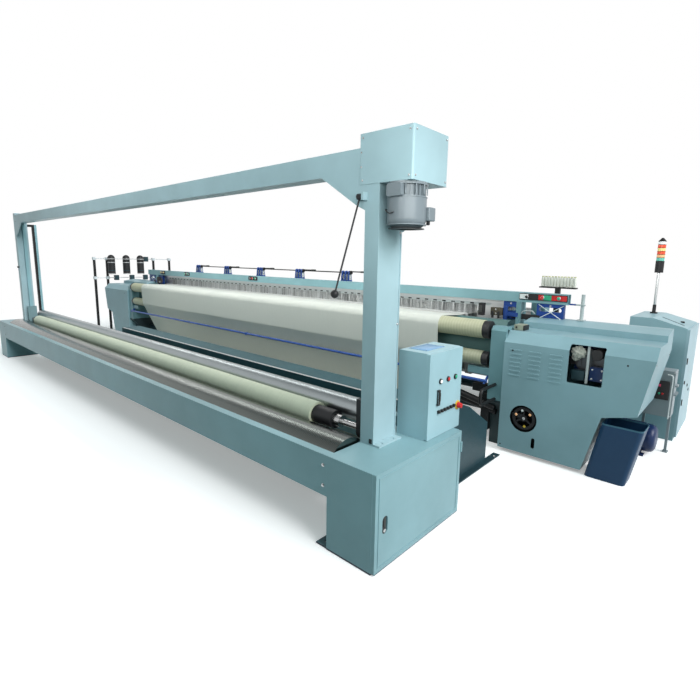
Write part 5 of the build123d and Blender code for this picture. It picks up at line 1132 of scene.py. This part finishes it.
@dataclass
class Healds(SubAssembly):
    """Heald wires in the four frames, the marked strip in front, and the drop wires."""

    frames: tuple[float, ...] = (0.276, 0.310, 0.344, 0.378)

    def wires(self, number: int, y: float) -> None:
        """Puts the heald wires and their carrying rods into one frame.

        A wire is a narrow plate, wider at the eye: three stacked boxes at equal steps
        along X, in an order shifted from frame to frame.
        """
        bundle = Bundle(f"heald_wires_{number}")
        xs = np.arange(-3.12, 3.12, 0.008) + 0.002 * number
        for z, tall, wide in ((0.935, 0.295, 0.0026), (1.1, 0.036, 0.0040), (1.165, 0.095, 0.0026)):
            bundle.boxes(xs, y, z, (wide, 0.0012, tall), "bright_wire")
        for z in (0.795, 1.2):
            bundle.slab((-3.3, y - 0.002, z), (3.3, y + 0.002, z + 0.018), "aluminium", 0.001)
        bundle.build(f"heald_body_{number}", self.book)

    @piece("heald_strip", "heald_body_1")
    def strip(self, bundle: Bundle) -> None:
        """The pale strip with black marks on the front frame."""
        bundle.slabs((-3340, 262, 1196, 3340, 265.5, 1224, 0.8, "pale_plastic"))
        marks = 2.354 + 0.1109 * np.arange(-51, 9)
        bundle.boxes(marks, 0.2622, 1.209, (0.044, 0.0024, 0.013), "black_plastic")

    @piece("drop_wires")
    def drops(self, bundle: Bundle) -> None:
        """The drop wires that ride on the warp between the stop rails."""
        xs = np.arange(-3.11, 3.11, 0.0125)
        for number, y in enumerate((0.771, 0.816, 0.861, 0.906)):
            bundle.boxes(xs + 0.003 * number, y, 1.098, (0.0008, 0.007, 0.086), "bright_wire")

    def build(self) -> None:
        """Fills the frames, then makes the other pieces."""
        for number, y in enumerate(self.frames, 1):
            self.wires(number, y)
        super().build()


@dataclass
class Temples(SubAssembly):
    """The stretchers and brackets beside the cloth's two edges."""

    def side(self, bundle: Bundle, sign: float) -> None:
        """One side's parts, mirrored by sign."""
        for low, high, *y_and_z, finish in (
            (3317, 3365, 30, 1119, 88, 1237, "black_plastic"),
            (3300, 3318, 40, 1128, 78, 1160, "shaft_steel"),
            (3325, 3357, 22, 1150, 31, 1215, "grip_rubber"),
            (3407, 3515, 110, 1122, 160, 1197, "warm_iron"),
            (3420, 3440, 102, 1096, 118, 1160, "cast_iron"),
            (3480, 3500, 102, 1096, 118, 1160, "cast_iron"),
            (3522, 3560, 140, 1050, 165, 1214, "blue_paint"),
            (3560, 3660, 142, 1120, 163, 1160, "blue_paint"),
            (3585, 3848, 188, 1100, 204, 1150, "black_plastic"),
        ):
            bundle.slabs((low * sign, *y_and_z[:2], high * sign, *y_and_z[2:], 3, finish))
        bend = ((3.672, 0.196, 1.142), (3.690, 0.190, 1.170), (3.74, 0.188, 1.186),
                (3.785, 0.190, 1.182), (3.801, 0.198, 1.160))
        bundle.tube([(x * sign, y, z) for x, y, z in bend], 6, 0.006, "pale_plastic")
        for z in (1.18, 1.14):
            bundle.bolt((3.461 * sign, 0.11, z), Y, 0.008)
        for start, end in ((1.118, 1.250), (1.25, 1.118)):
            strut = ((3.831 * sign, 0.199, start), (4.052 * sign, 0.199, end))
            bundle.tube(strut, 4, 0.0035, "white_plastic", 8)

    @piece("right_temple")
    def right(self, bundle: Bundle) -> None:
        """The right side."""
        self.side(bundle, 1.0)

    @piece("left_temple")
    def left(self, bundle: Bundle) -> None:
        """The left side."""
        self.side(bundle, -1.0)


@dataclass
class Stations(SubAssembly):
    """Coloured keys on the top beam's button stations."""

    @piece("station_keys")
    def keys(self, bundle: Bundle) -> None:
        """Plates on the right station, and three domed keys with collars on each station."""
        for low, high, finish in ((3658, 3738, "white_plastic"), (3832, 3878, "red_button"),
                                  (3878, 3949, "green_button"), (3949, 4082, "red_button")):
            bundle.slabs((low + 1, 171.2, 1294, high - 1, 173.5, 1339, 0.8, finish))
        collar = ((0.0, 0.0161), (0.0085, 0.0161), (0.0105, 0.01428))
        dome = ((0.0095, 0.0133), (0.014, 0.01302), (0.0165, 0.0105), (0.0175, 0.0056))
        for middle, length, finishes in (
            (3.870, 0.430, ("black_plastic", "red_button", "green_button")),
            (-3.420, 0.150, ("yellow_button", "black_plastic", "yellow_button")),
            (-2.500, 0.170, ("green_button", "black_plastic", "green_button")),
            (-0.510, 0.210, ("black_plastic", "red_button", "green_button")),
        ):
            for step, finish in zip((-1, 0, 1), finishes):
                centre = (middle + step * length / 3, 0.173, 1.3165)
                bundle.turned(centre, Y, collar, "aluminium", 28)
                bundle.turned(centre, Y, dome, finish, 28)


@dataclass
class DriveEnd(SubAssembly):
    """What shows in and on the drive cover, the hand wheel, and the operator's box."""

    wheel_centre: Point = (3.9823, -0.357, 0.33)

    def lint(self, bundle: Bundle, middle: Point, radius: float) -> None:
        """A lump of lint: a sphere whose radius swells by three crossed waves."""
        up = np.linspace(0.02, np.pi - 0.02, 22)[:, None]
        turn = np.linspace(0.0, 2.0 * np.pi, 36, endpoint=False)
        waves = 0.13 * np.sin(5 * turn + 3 * up) + 0.09 * np.sin(9 * up - 4 * turn) + 0.06 * np.sin(13 * turn)
        size = radius * (1.0 + waves)
        round_x, round_y = 1.15 * np.sin(up) * np.cos(turn), 0.8 * np.sin(up) * np.sin(turn)
        place = np.stack((size * round_x, size * round_y, size * np.cos(up)), -1)
        bundle.grid(place + np.asarray(middle), "lint")

    @piece("receiver_parts")
    def window(self, bundle: Bundle) -> None:
        """The parts behind the window."""
        bundle.slabs((4285, -158, 702, 4557, -150, 1018, 1.5, "navy_paint"))
        self.lint(bundle, (4.346, -0.292, 0.945), 0.043)
        self.lint(bundle, (4.322, -0.270, 0.900), 0.026)
        ring = ((0.0, 0.036), (0.004, 0.041), (0.05, 0.041), (0.054, 0.036))
        for y in (-0.225, -0.283):
            bundle.turned((4.487, y, 0.945), Y, ring, "black_plastic", 40)
            bundle.turned((4.487, y + 0.003, 0.945), Y, ((0.0, 0.039), (0.006, 0.039)), "white_plastic", 40)
        bundle.slabs(
            (4408, -300, 705, 4428, -288, 1010, 3, "pale_plastic"),
            (4432, -290, 730, 4540, -235, 842, 6, "navy_paint"),
            (4300, -285, 720, 4398, -225, 800, 6, "dark_teal"),
        )
        for z, x in product((0.822, 0.75), (4.452, 4.520)):
            bundle.bolt((x, -0.29, z), Y, 0.006)

    @piece("drive_liner")
    def shade_sheets_and_shafts(self, bundle: Bundle) -> None:
        """Dark sheets and shafts behind the wheel hole and in the bay beside the rollers; the two sheets behind
        the wheel hole are painted shade inside the cover.
        """
        # Painted shade: two black sheets, behind the wheel hole and under it, darken the inside of the drive
        # cover.
        bundle.slabs(
            (3790, -206, 36, 4250, -200, 520, 1, "black_paint"),
            (3790, -340, 33, 4250, -200, 38, 1, "black_paint"),
        )
        bundle.tube(((3.300, -0.30, 0.430), (3.70, -0.30, 0.345)), 6, 0.030, "black_paint", 24)
        bundle.tube(((3.300, -0.24, 0.355), (3.70, -0.27, 0.300)), 6, 0.024, "black_paint", 24)
        bundle.slabs(
            (3455, -270, 455, 3635, -200, 530, 4, "black_paint"),
            (3560, -290, 120, 3640, -180, 455, 4, "black_paint"),
        )

    @piece("ledge_unit")
    def ledge(self, bundle: Bundle) -> None:
        """The small unit on the cover's ledge."""
        bundle.slabs(
            (3790, -230, 1054, 3868, -120, 1100, 3, "beige_paint"),
            (3868.5, -228, 1054, 3880, -122, 1096, 2, "black_plastic"),
        )
        bundle.turned((3.812, -0.23, 1.078), Y, stud(0.009, 0.006, 0.006, 0.008), "black_plastic", 20)

    @piece("wheel_marks", "hand_wheel_body")
    def wheel(self, bundle: Bundle) -> None:
        """Marks and bolts on the hand wheel's face; the two orange marks glow a little, which is painted light."""
        x, y, z = self.wheel_centre
        # Painted light: the orange marks take a lamp finish and glow, though they are no lamp.
        for turn, finish in ((0.7, "orange_lamp"), (2.8, "orange_lamp"), (4.9, "yellow_button"),
                             (1.8, "white_plastic")):
            place = (x + 0.068 * math.cos(turn), y, z + 0.068 * math.sin(turn))
            bundle.turned(place, Y, stud(0.011, 0.003, 0.008, 0.005), finish, 24)
        bundle.bolt(self.wheel_centre, Y, 0.012)

    @piece("operator_panel")
    def operator(self, bundle: Bundle) -> None:
        """The operator box's dark panel, its lights and the pale conduit beside it."""
        bundle.slabs(
            (4705, 468, 500, 4875, 486, 662, 5, "black_plastic"),
            (4767, 465.5, 611, 4812, 470, 632, 2, "pink_button"),
        )
        for x, finish in ((4.806, "green_button"), (4.830, "red_button")):
            bundle.turned((x, 0.468, 0.552), Y, stud(0.009, 0.004, 0.006, 0.006), finish, 24)
        bend = ((4.850, 0.478, 0.720), (4.880, 0.476, 0.716), (4.889, 0.476, 0.690), (4.889, 0.476, 0.52),
                (4.889, 0.476, 0.340))
        bundle.tube(bend, 8, 0.0045, "white_plastic")


@dataclass
class SignalTower(SubAssembly):
    """The beacon's coloured lenses, between two heights, and its foot and stem."""

    axis: tuple[float, float] = (4.545, 1.5)
    low: float = 1.670
    high: float = 1.866
    ribs: int = 15

    @piece("beacon_lenses")
    def lenses(self, bundle: Bundle) -> None:
        """Puts a ribbed lens round each stage, and turns the foot and the stem."""
        order = ("green_lamp", "orange_lamp", "red_lamp", "yellow_lamp", "red_lamp", "clear_lamp")
        step = (self.high - self.low) / len(order)
        rise = np.linspace(0.0015, step - 0.0035, self.ribs)
        lens = tuple(zip(rise, 0.0350 + 0.0004 * (np.arange(self.ribs) % 2)))
        for stage, finish in enumerate(order):
            bundle.turned((*self.axis, self.low + stage * step), Z, lens, finish, 48)
        foot = ((1.1375, 0.030), (1.143, 0.030), (1.148, 0.017), (1.225, 0.016), (1.228, 0.0122))
        stem = ((1.227, 0.0122), (1.229, 0.0128), (1.549, 0.0128), (1.551, 0.0122))
        bundle.turned((*self.axis, 0.0), Z, foot, "black_plastic", 32)
        bundle.turned((*self.axis, 0.0), Z, stem, "aluminium", 32)


@dataclass
class SupplyGoods(SubAssembly):
    """Yarn on the bobbin rack, the weft feeders' rings, and grips and plates at the levers."""

    brackets: tuple[float, ...] = tuple(-2.790 + 0.96 * number for number in range(5))

    @piece("bobbin_yarn")
    def bobbins(self, bundle: Bundle) -> None:
        """The cones on the rack."""
        cone = ((1.3775, 0.0152), (1.381, 0.0162), (1.44, 0.0158), (1.462, 0.0150), (1.478, 0.0125),
                (1.4895, 0.0118), (1.4905, 0.009))
        for number in range(-5, 6):
            bundle.turned((3.708 + number * 0.033, 1.080, 0.0), Z, cone, "cone_yarn", 28)

    @piece("feeder_rings")
    def feeders(self, bundle: Bundle) -> None:
        """Rings and caps on the feeders."""
        ring = ((0.0, 0.0722), (0.002, 0.0742), (0.012, 0.0742), (0.014, 0.0722))
        rings = ((1.232, "aluminium"), (1.300, "dark_teal"), (1.472, "aluminium"), (1.548, "aluminium"))
        for y, (z, finish) in product((-0.095, 0.215, 0.520), rings):
            bundle.turned((-5.170, y, z), Z, ring, finish, 40)
        for y, z in ((30, 1150), (360, 1150), (660, 1150), (690, 1555)):
            bundle.slabs((-5305, y - 45, z - 55, -5235, y + 45, z + 55, 6, "dark_teal"))

    @piece("lever_grips", "levers_body")
    def grips(self, bundle: Bundle) -> None:
        """Grips on the levers."""
        grip = ((0.0, 0.0085), (0.002, 0.0115), (0.08, 0.0128), (0.088, 0.0115), (0.091, 0.007))
        for x in self.brackets:
            bundle.turned((x + 0.258, 0.6, 1.465), X, grip, "grip_rubber", 20)

    @piece("bracket_plates")
    def plates(self, bundle: Bundle) -> None:
        """Pale plates with a bolt on the bracket cheeks."""
        for x, cheek in product(self.brackets, (-0.0505, 0.0115, 0.0735)):
            low, high = x + cheek, x + cheek + 0.0015
            bundle.slab((low, 0.580, 1.352), (high, 0.620, 1.425), "pale_plastic", 0.0006)
            bundle.bolt((high, 0.6, 1.375), X, 0.006)


@dataclass
class WinderTrim(SubAssembly):
    """Lamps, switches, handles and small parts of the winder."""

    motor_axis: tuple[float, float] = (3.895, -2.030)
    motor_radius: float = 0.1042

    @piece("tread_nosing")
    def nosing(self, bundle: Bundle) -> None:
        """The bright strips screwed along the walkway tread's front edge and its bend."""
        for low, high in (((-1372.2, 587.2), (-1345, 589.7)), ((-1372.2, 572), (-1370.2, 589.3)),
                          ((-1150, 587.2), (-1128, 589.2))):
            bundle.slabs((-1560, *low, 3796, *high, 0.8, "aluminium"))
        for x in np.arange(-1.40, 3.796, 0.4).tolist():
            bundle.bolt((x, -1.358, 0.5897), Z, 0.004)

    @piece("control_trim", "control_door_body")
    def controls(self, bundle: Bundle) -> None:
        """The control door's lamps, handle and switches."""
        dome = ((0.0, 0.0115), (0.003, 0.0108), (0.0052, 0.008), (0.006, 0.004))
        for y, finish in ((-1.726, "clear_lamp"), (-1.638, "red_button"), (-1.550, "green_button")):
            bundle.turned((3.971, y, 0.910), X, stud(0.0165, 0.007, 0.0145, 0.0095), "black_plastic", 36)
            bundle.turned((3.9795, y, 0.910), X, dome, finish, 32)
        bundle.slabs(
            (3971.2, -1762.5, 765.5, 3986.8, -1737.5, 862.5, 4, "black_plastic"),
            (3986.5, -1754.5, 792, 3993.5, -1745.5, 846, 3, "grip_rubber"),
        )
        for y in range(-1738, -1557, 36):
            bundle.slabs(
                (3971.2, y - 11, 713, 3986.8, y + 11, 731, 2, "black_plastic"),
                (3986.5, y - 4, 716.5, 3990.5, y + 4, 727.5, 1.5, "grip_rubber"),
            )
        bundle.turned((3.9712, -1.501, 0.712), X, stud(0.030, 0.0025, 0.029, 0.0035), "yellow_button", 40)

    @piece("control_top_panel")
    def top_panel(self, bundle: Bundle) -> None:
        """The blue panel on top of the control box."""
        seat = self.probe.seat("control_box", (3.83, -1.68, 0.0), Z)[2]
        top = seat + 0.0025
        bundle.slab((3.770, -1.780, seat), (3.900, -1.570, top), "blue_plate", 0.001)
        for x, y in product((3.778, 3.892), (-1.772, -1.578)):
            bundle.bolt((x, y, top), Z, 0.0035)

    @piece("cabinet_lock", "cabinet_door_body")
    def door_lock(self, bundle: Bundle) -> None:
        """The handle in the drive cabinet door's recess."""
        seat = self.probe.seat("cabinet_door", (0.0, -2.314, 0.258), X)[0]
        bundle.slab((seat - 0.001, -2.330, 0.205), (seat + 0.006, -2.298, 0.311), "black_plastic", 0.003)
        bundle.turned((seat + 0.005, -2.314, 0.226), X, stud(0.010, 0.004, 0.008, 0.005), "shaft_steel", 28)
        bundle.slab((seat + 0.005, -2.321, 0.246), (seat + 0.010, -2.307, 0.303), "grip_rubber", 0.003)

    @piece("lift_motor_trim")
    def motor(self, bundle: Bundle) -> None:
        """Cowl grille, bands, ribs, hook, terminal box and gland of the lift motor."""
        x, y = self.motor_axis
        rings = ((0.0, 0.060), (0.0, 0.096), (-0.003, 0.096), (-0.004, 0.060))
        for scale in (1.0, 0.74, 0.48):
            scaled = [(along, radius * scale) for along, radius in rings]
            bundle.turned((x, y, 1.7905), Z, scaled, "black_plastic", 48)
        side = self.motor_radius
        for low, high, reach in ((1.944, 1.952, 0.1060), (1.806, 1.813, 0.1055)):
            band = ((low, side), (low + 0.001, reach), (high - 0.001, reach), (high, side))
            bundle.turned((x, y, 0.0), Z, band, "motor_grey", 64)
        for turn in np.arange(0.0, 6.28, 0.524).tolist():
            foot = (x + side * math.cos(turn), y + side * math.sin(turn))
            bundle.tube(((*foot, 1.96), (*foot, 2.015)), 1, 0.0035, "motor_grey", 8)
        bend = ((3.830, -2.116, 1.884), (3.835, -2.136, 1.881), (3.860, -2.139, 1.864),
                (3.883, -2.136, 1.868), (3.886, -2.126, 1.874))
        bundle.tube(bend, 8, 0.0028, "black_plastic", 8)
        bundle.slabs((3960, -1990, 1830, 4012, -1930, 1900, 6, "motor_grey"))
        bundle.turned((3.986, -1.96, 1.83), Z, stud(0.011, -0.016, 0.008, -0.02), "black_plastic", 6)

    @piece("post_trim")
    def knob(self, bundle: Bundle) -> None:
        """The knob on the left post and the slot cover at the right post's foot."""
        stem = ((0.0, 0.006), (0.008, 0.006), (0.009, 0.014), (0.022, 0.015), (0.026, 0.010))
        bundle.turned((-3.450, -2.1245, 1.418), Y, stem, "black_plastic", 28)
        bundle.slabs((3752, -2126.5, 572, 3774, -2123.5, 600, 1, "black_plastic"))


@dataclass
class ElectricTrim(SubAssembly):
    """Locks on the electric cabinet's door, a grip and a knob on its lid."""

    @piece("electric_trim", "electric_door_body")
    def locks(self, bundle: Bundle) -> None:
        """The two locks."""
        lock = ((0.0, 0.015), (0.003, 0.015), (0.0055, 0.012), (0.006, 0.005))
        for y, z in ((1.32, 0.48), (1.479, 0.408)):
            bundle.turned((4.919, y, z), X, lock, "black_plastic", 32)

    @piece("electric_lid_trim")
    def lid(self, bundle: Bundle) -> None:
        """The grip and the knob, seated on the lid."""
        places = ((4.660, 1.240), (4.760, 1.180), (4.855, 1.118), (4.82, 1.30))
        *line, seat = (self.probe.seat("electric_cabinet", (*place, 0.0), Z) for place in places)
        bundle.tube(line, 4, 0.0035, "black_plastic", 8)
        bundle.turned(seat, Z, ((-0.003, 0.017), (0.010, 0.017), (0.013, 0.014)), "black_plastic", 28)


@dataclass
class Studio:
    """Camera, light and pale floor as in the photograph. The camera's place, its turn in
    degrees and its lens come from the photograph's own lines."""

    eye: Point = (5.352095, -4.078815, 1.62)
    turns: Point = (41.3668, 9.48229, 1.07554)
    focal: float = 457.843 / 700.0
    shift: tuple[float, float] = (-0.00739, -0.01894)
    bounce: Colour = (0.25, 0.35, 0.355)
    white: Colour = (1.0, 1.0, 1.0)

    def camera(self) -> None:
        """Stands the camera where the photograph was taken from."""
        yaw, pitch, roll = (math.radians(turn) for turn in self.turns)
        ahead = Vector((-math.sin(yaw) * math.cos(pitch), math.cos(yaw) * math.cos(pitch), -math.sin(pitch)))
        right = ahead.cross(Vector((0.0, 0.0, 1.0))).normalized()
        up = right.cross(ahead)
        tilted = right * math.cos(roll) + up * math.sin(roll)
        raised = up * math.cos(roll) - right * math.sin(roll)
        lens = bpy.data.cameras.new("camera")
        lens.sensor_width = 36.0
        lens.lens = self.focal * 36.0
        lens.shift_x, lens.shift_y = self.shift
        lens.clip_end = 200.0
        eye = bpy.data.objects.new("camera", lens)
        turn = Matrix((tilted, raised, -ahead)).transposed().to_4x4()
        eye.matrix_world = Matrix.Translation(self.eye) @ turn
        bpy.context.scene.collection.objects.link(eye)
        bpy.context.scene.camera = eye

    def backdrop(self) -> None:
        """White to the camera and in reflections near the horizon, soft grey as light."""
        world = bpy.data.worlds.new("studio")
        bpy.context.scene.world = world
        g = Graph(world)
        height = g.along(Z, g.add("ShaderNodeTexCoord", {}, {})["Generated"])
        white = g.ramp(height, (0.5, self.white), (0.82, (0.32, 0.33, 0.34)))
        colour = g.blend(g.seen(), (0.20, 0.29, 0.295), white)
        sky = g.add("ShaderNodeBackground", {}, {"Color": colour, "Strength": 1.0})
        g.add("ShaderNodeOutputWorld", {}, {"Surface": sky["Background"]})

    def lamp(self, name: str, kind: str, place: Point, aim: Point, **settings: Any) -> None:
        """Adds a light at a place that points at another, with its own settings."""
        light = bpy.data.lights.new(name, kind)
        for key, value in settings.items():
            setattr(light, key, value)
        holder = bpy.data.objects.new(name, light)
        turn = (Vector(aim) - Vector(place)).to_track_quat("-Z", "Y").to_matrix().to_4x4()
        holder.matrix_world = Matrix.Translation(place) @ turn
        holder.visible_camera = False
        bpy.context.scene.collection.objects.link(holder)

    def paving(self) -> bpy.types.Material:
        """Pale to the camera and grey as light, glowing white far from the loom."""
        g = Graph(bpy.data.materials.new("studio_floor"))
        seen, place = g.seen(), g.place()
        tone = g.ramp(g.noise(place, 0.8), (0.0, (0.90, 0.90, 0.90)), (1.0, (0.94, 0.94, 0.94)))
        reach = g.add("ShaderNodeVectorMath", {"operation": "LENGTH"}, {0: place})["Value"]
        far = ((reach - 4.5) * (1.0 / 6.0)).clamped()
        near = g.add("ShaderNodeBsdfPrincipled", {}, {
            "Base Color": g.blend(seen, self.bounce, tone), "Roughness": 0.9, "Specular IOR Level": 0.1,
            "Emission Color": g.blend(seen, (0.0, 0.0, 0.0), (0.30, 0.30, 0.30)), "Emission Strength": 1.0,
        })
        haze = g.blend(seen, self.bounce, self.white)
        glow = g.add("ShaderNodeEmission", {}, {"Color": haze, "Strength": 1.0})
        mixed = g.add("ShaderNodeMixShader", {}, {0: far, 1: near["BSDF"], 2: glow["Emission"]})
        g.add("ShaderNodeOutputMaterial", {}, {"Surface": mixed["Shader"]})
        return g.owner

    def floor(self) -> None:
        """Lays a wide level floor, eight squares by eight."""
        xs, ys = np.meshgrid(*(np.linspace(-60.0, 60.0, 9),) * 2)
        bundle = Bundle("studio_floor")
        bundle.grid(np.stack((xs, ys, np.full_like(xs, -0.002)), -1), "studio_floor", wrap=False, caps=False)
        mesh = bpy.data.meshes.new("studio_floor")
        mesh.from_pydata(bundle.points[0].tolist(), [], bundle.faces[0].tolist())
        mesh.materials.append(self.paving())
        ground = bpy.data.objects.new("studio_floor", mesh)
        bpy.context.scene.collection.objects.link(ground)
        ground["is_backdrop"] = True

    def build(self) -> None:
        """Sets everything up."""
        bpy.context.scene.view_settings.view_transform = "Standard"
        self.camera()
        self.backdrop()
        self.floor()
        self.lamp("key", "SUN", (8.0, 0.0, 6.2), (0.0, 0.0, 0.0),
                  energy=3.05, angle=math.radians(35.0), color=(1.0, 0.985, 1.0))
        self.lamp("corner", "AREA", (5.1, -2.6, 2.1), (4.2, -0.4, 0.5),
                  shape="RECTANGLE", size=1.8, size_y=0.5, energy=18.0, color=(0.97, 1.0, 0.98))
        self.lamp("aisle", "AREA", (0.3, -1.15, 2.3), (0.3, -0.38, 1.0),
                  shape="RECTANGLE", size=6.6, size_y=0.3, energy=46.0, color=(1.0, 1.0, 0.97))
        self.lamp("front", "AREA", (2.6, -7.5, 3.5), (2.6, 0.0, 3.3),
                  shape="RECTANGLE", size=8.0, size_y=1.0, energy=58.0, spread=math.radians(44.0))


SIZES: dict[str, dict[str, list[float]]] = {}


def note_size(key: str) -> None:
    low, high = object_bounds()
    held = SIZES.setdefault(key, {})
    held["low"] = [float(v) for v in low]
    held["high"] = [float(v) for v in high]


def main() -> None:
    """Builds the whole picture."""
    logging.basicConfig(level=logging.INFO, format="%(name)s: %(message)s")
    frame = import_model()
    note_size("loaded")
    book = FinishBook()
    bpy.context.view_layer.update()
    probe = Probe(frame)
    CarriedSolids(frame, book).build()
    for sub_assembly in (Fasteners, ClothGoods, Healds, Temples, Stations, DriveEnd, SignalTower,
                         SupplyGoods, WinderTrim, ElectricTrim):
        sub_assembly(probe, book).build()
    Studio().build()
    note_size("finished")


if __name__ == "__main__":
    main()
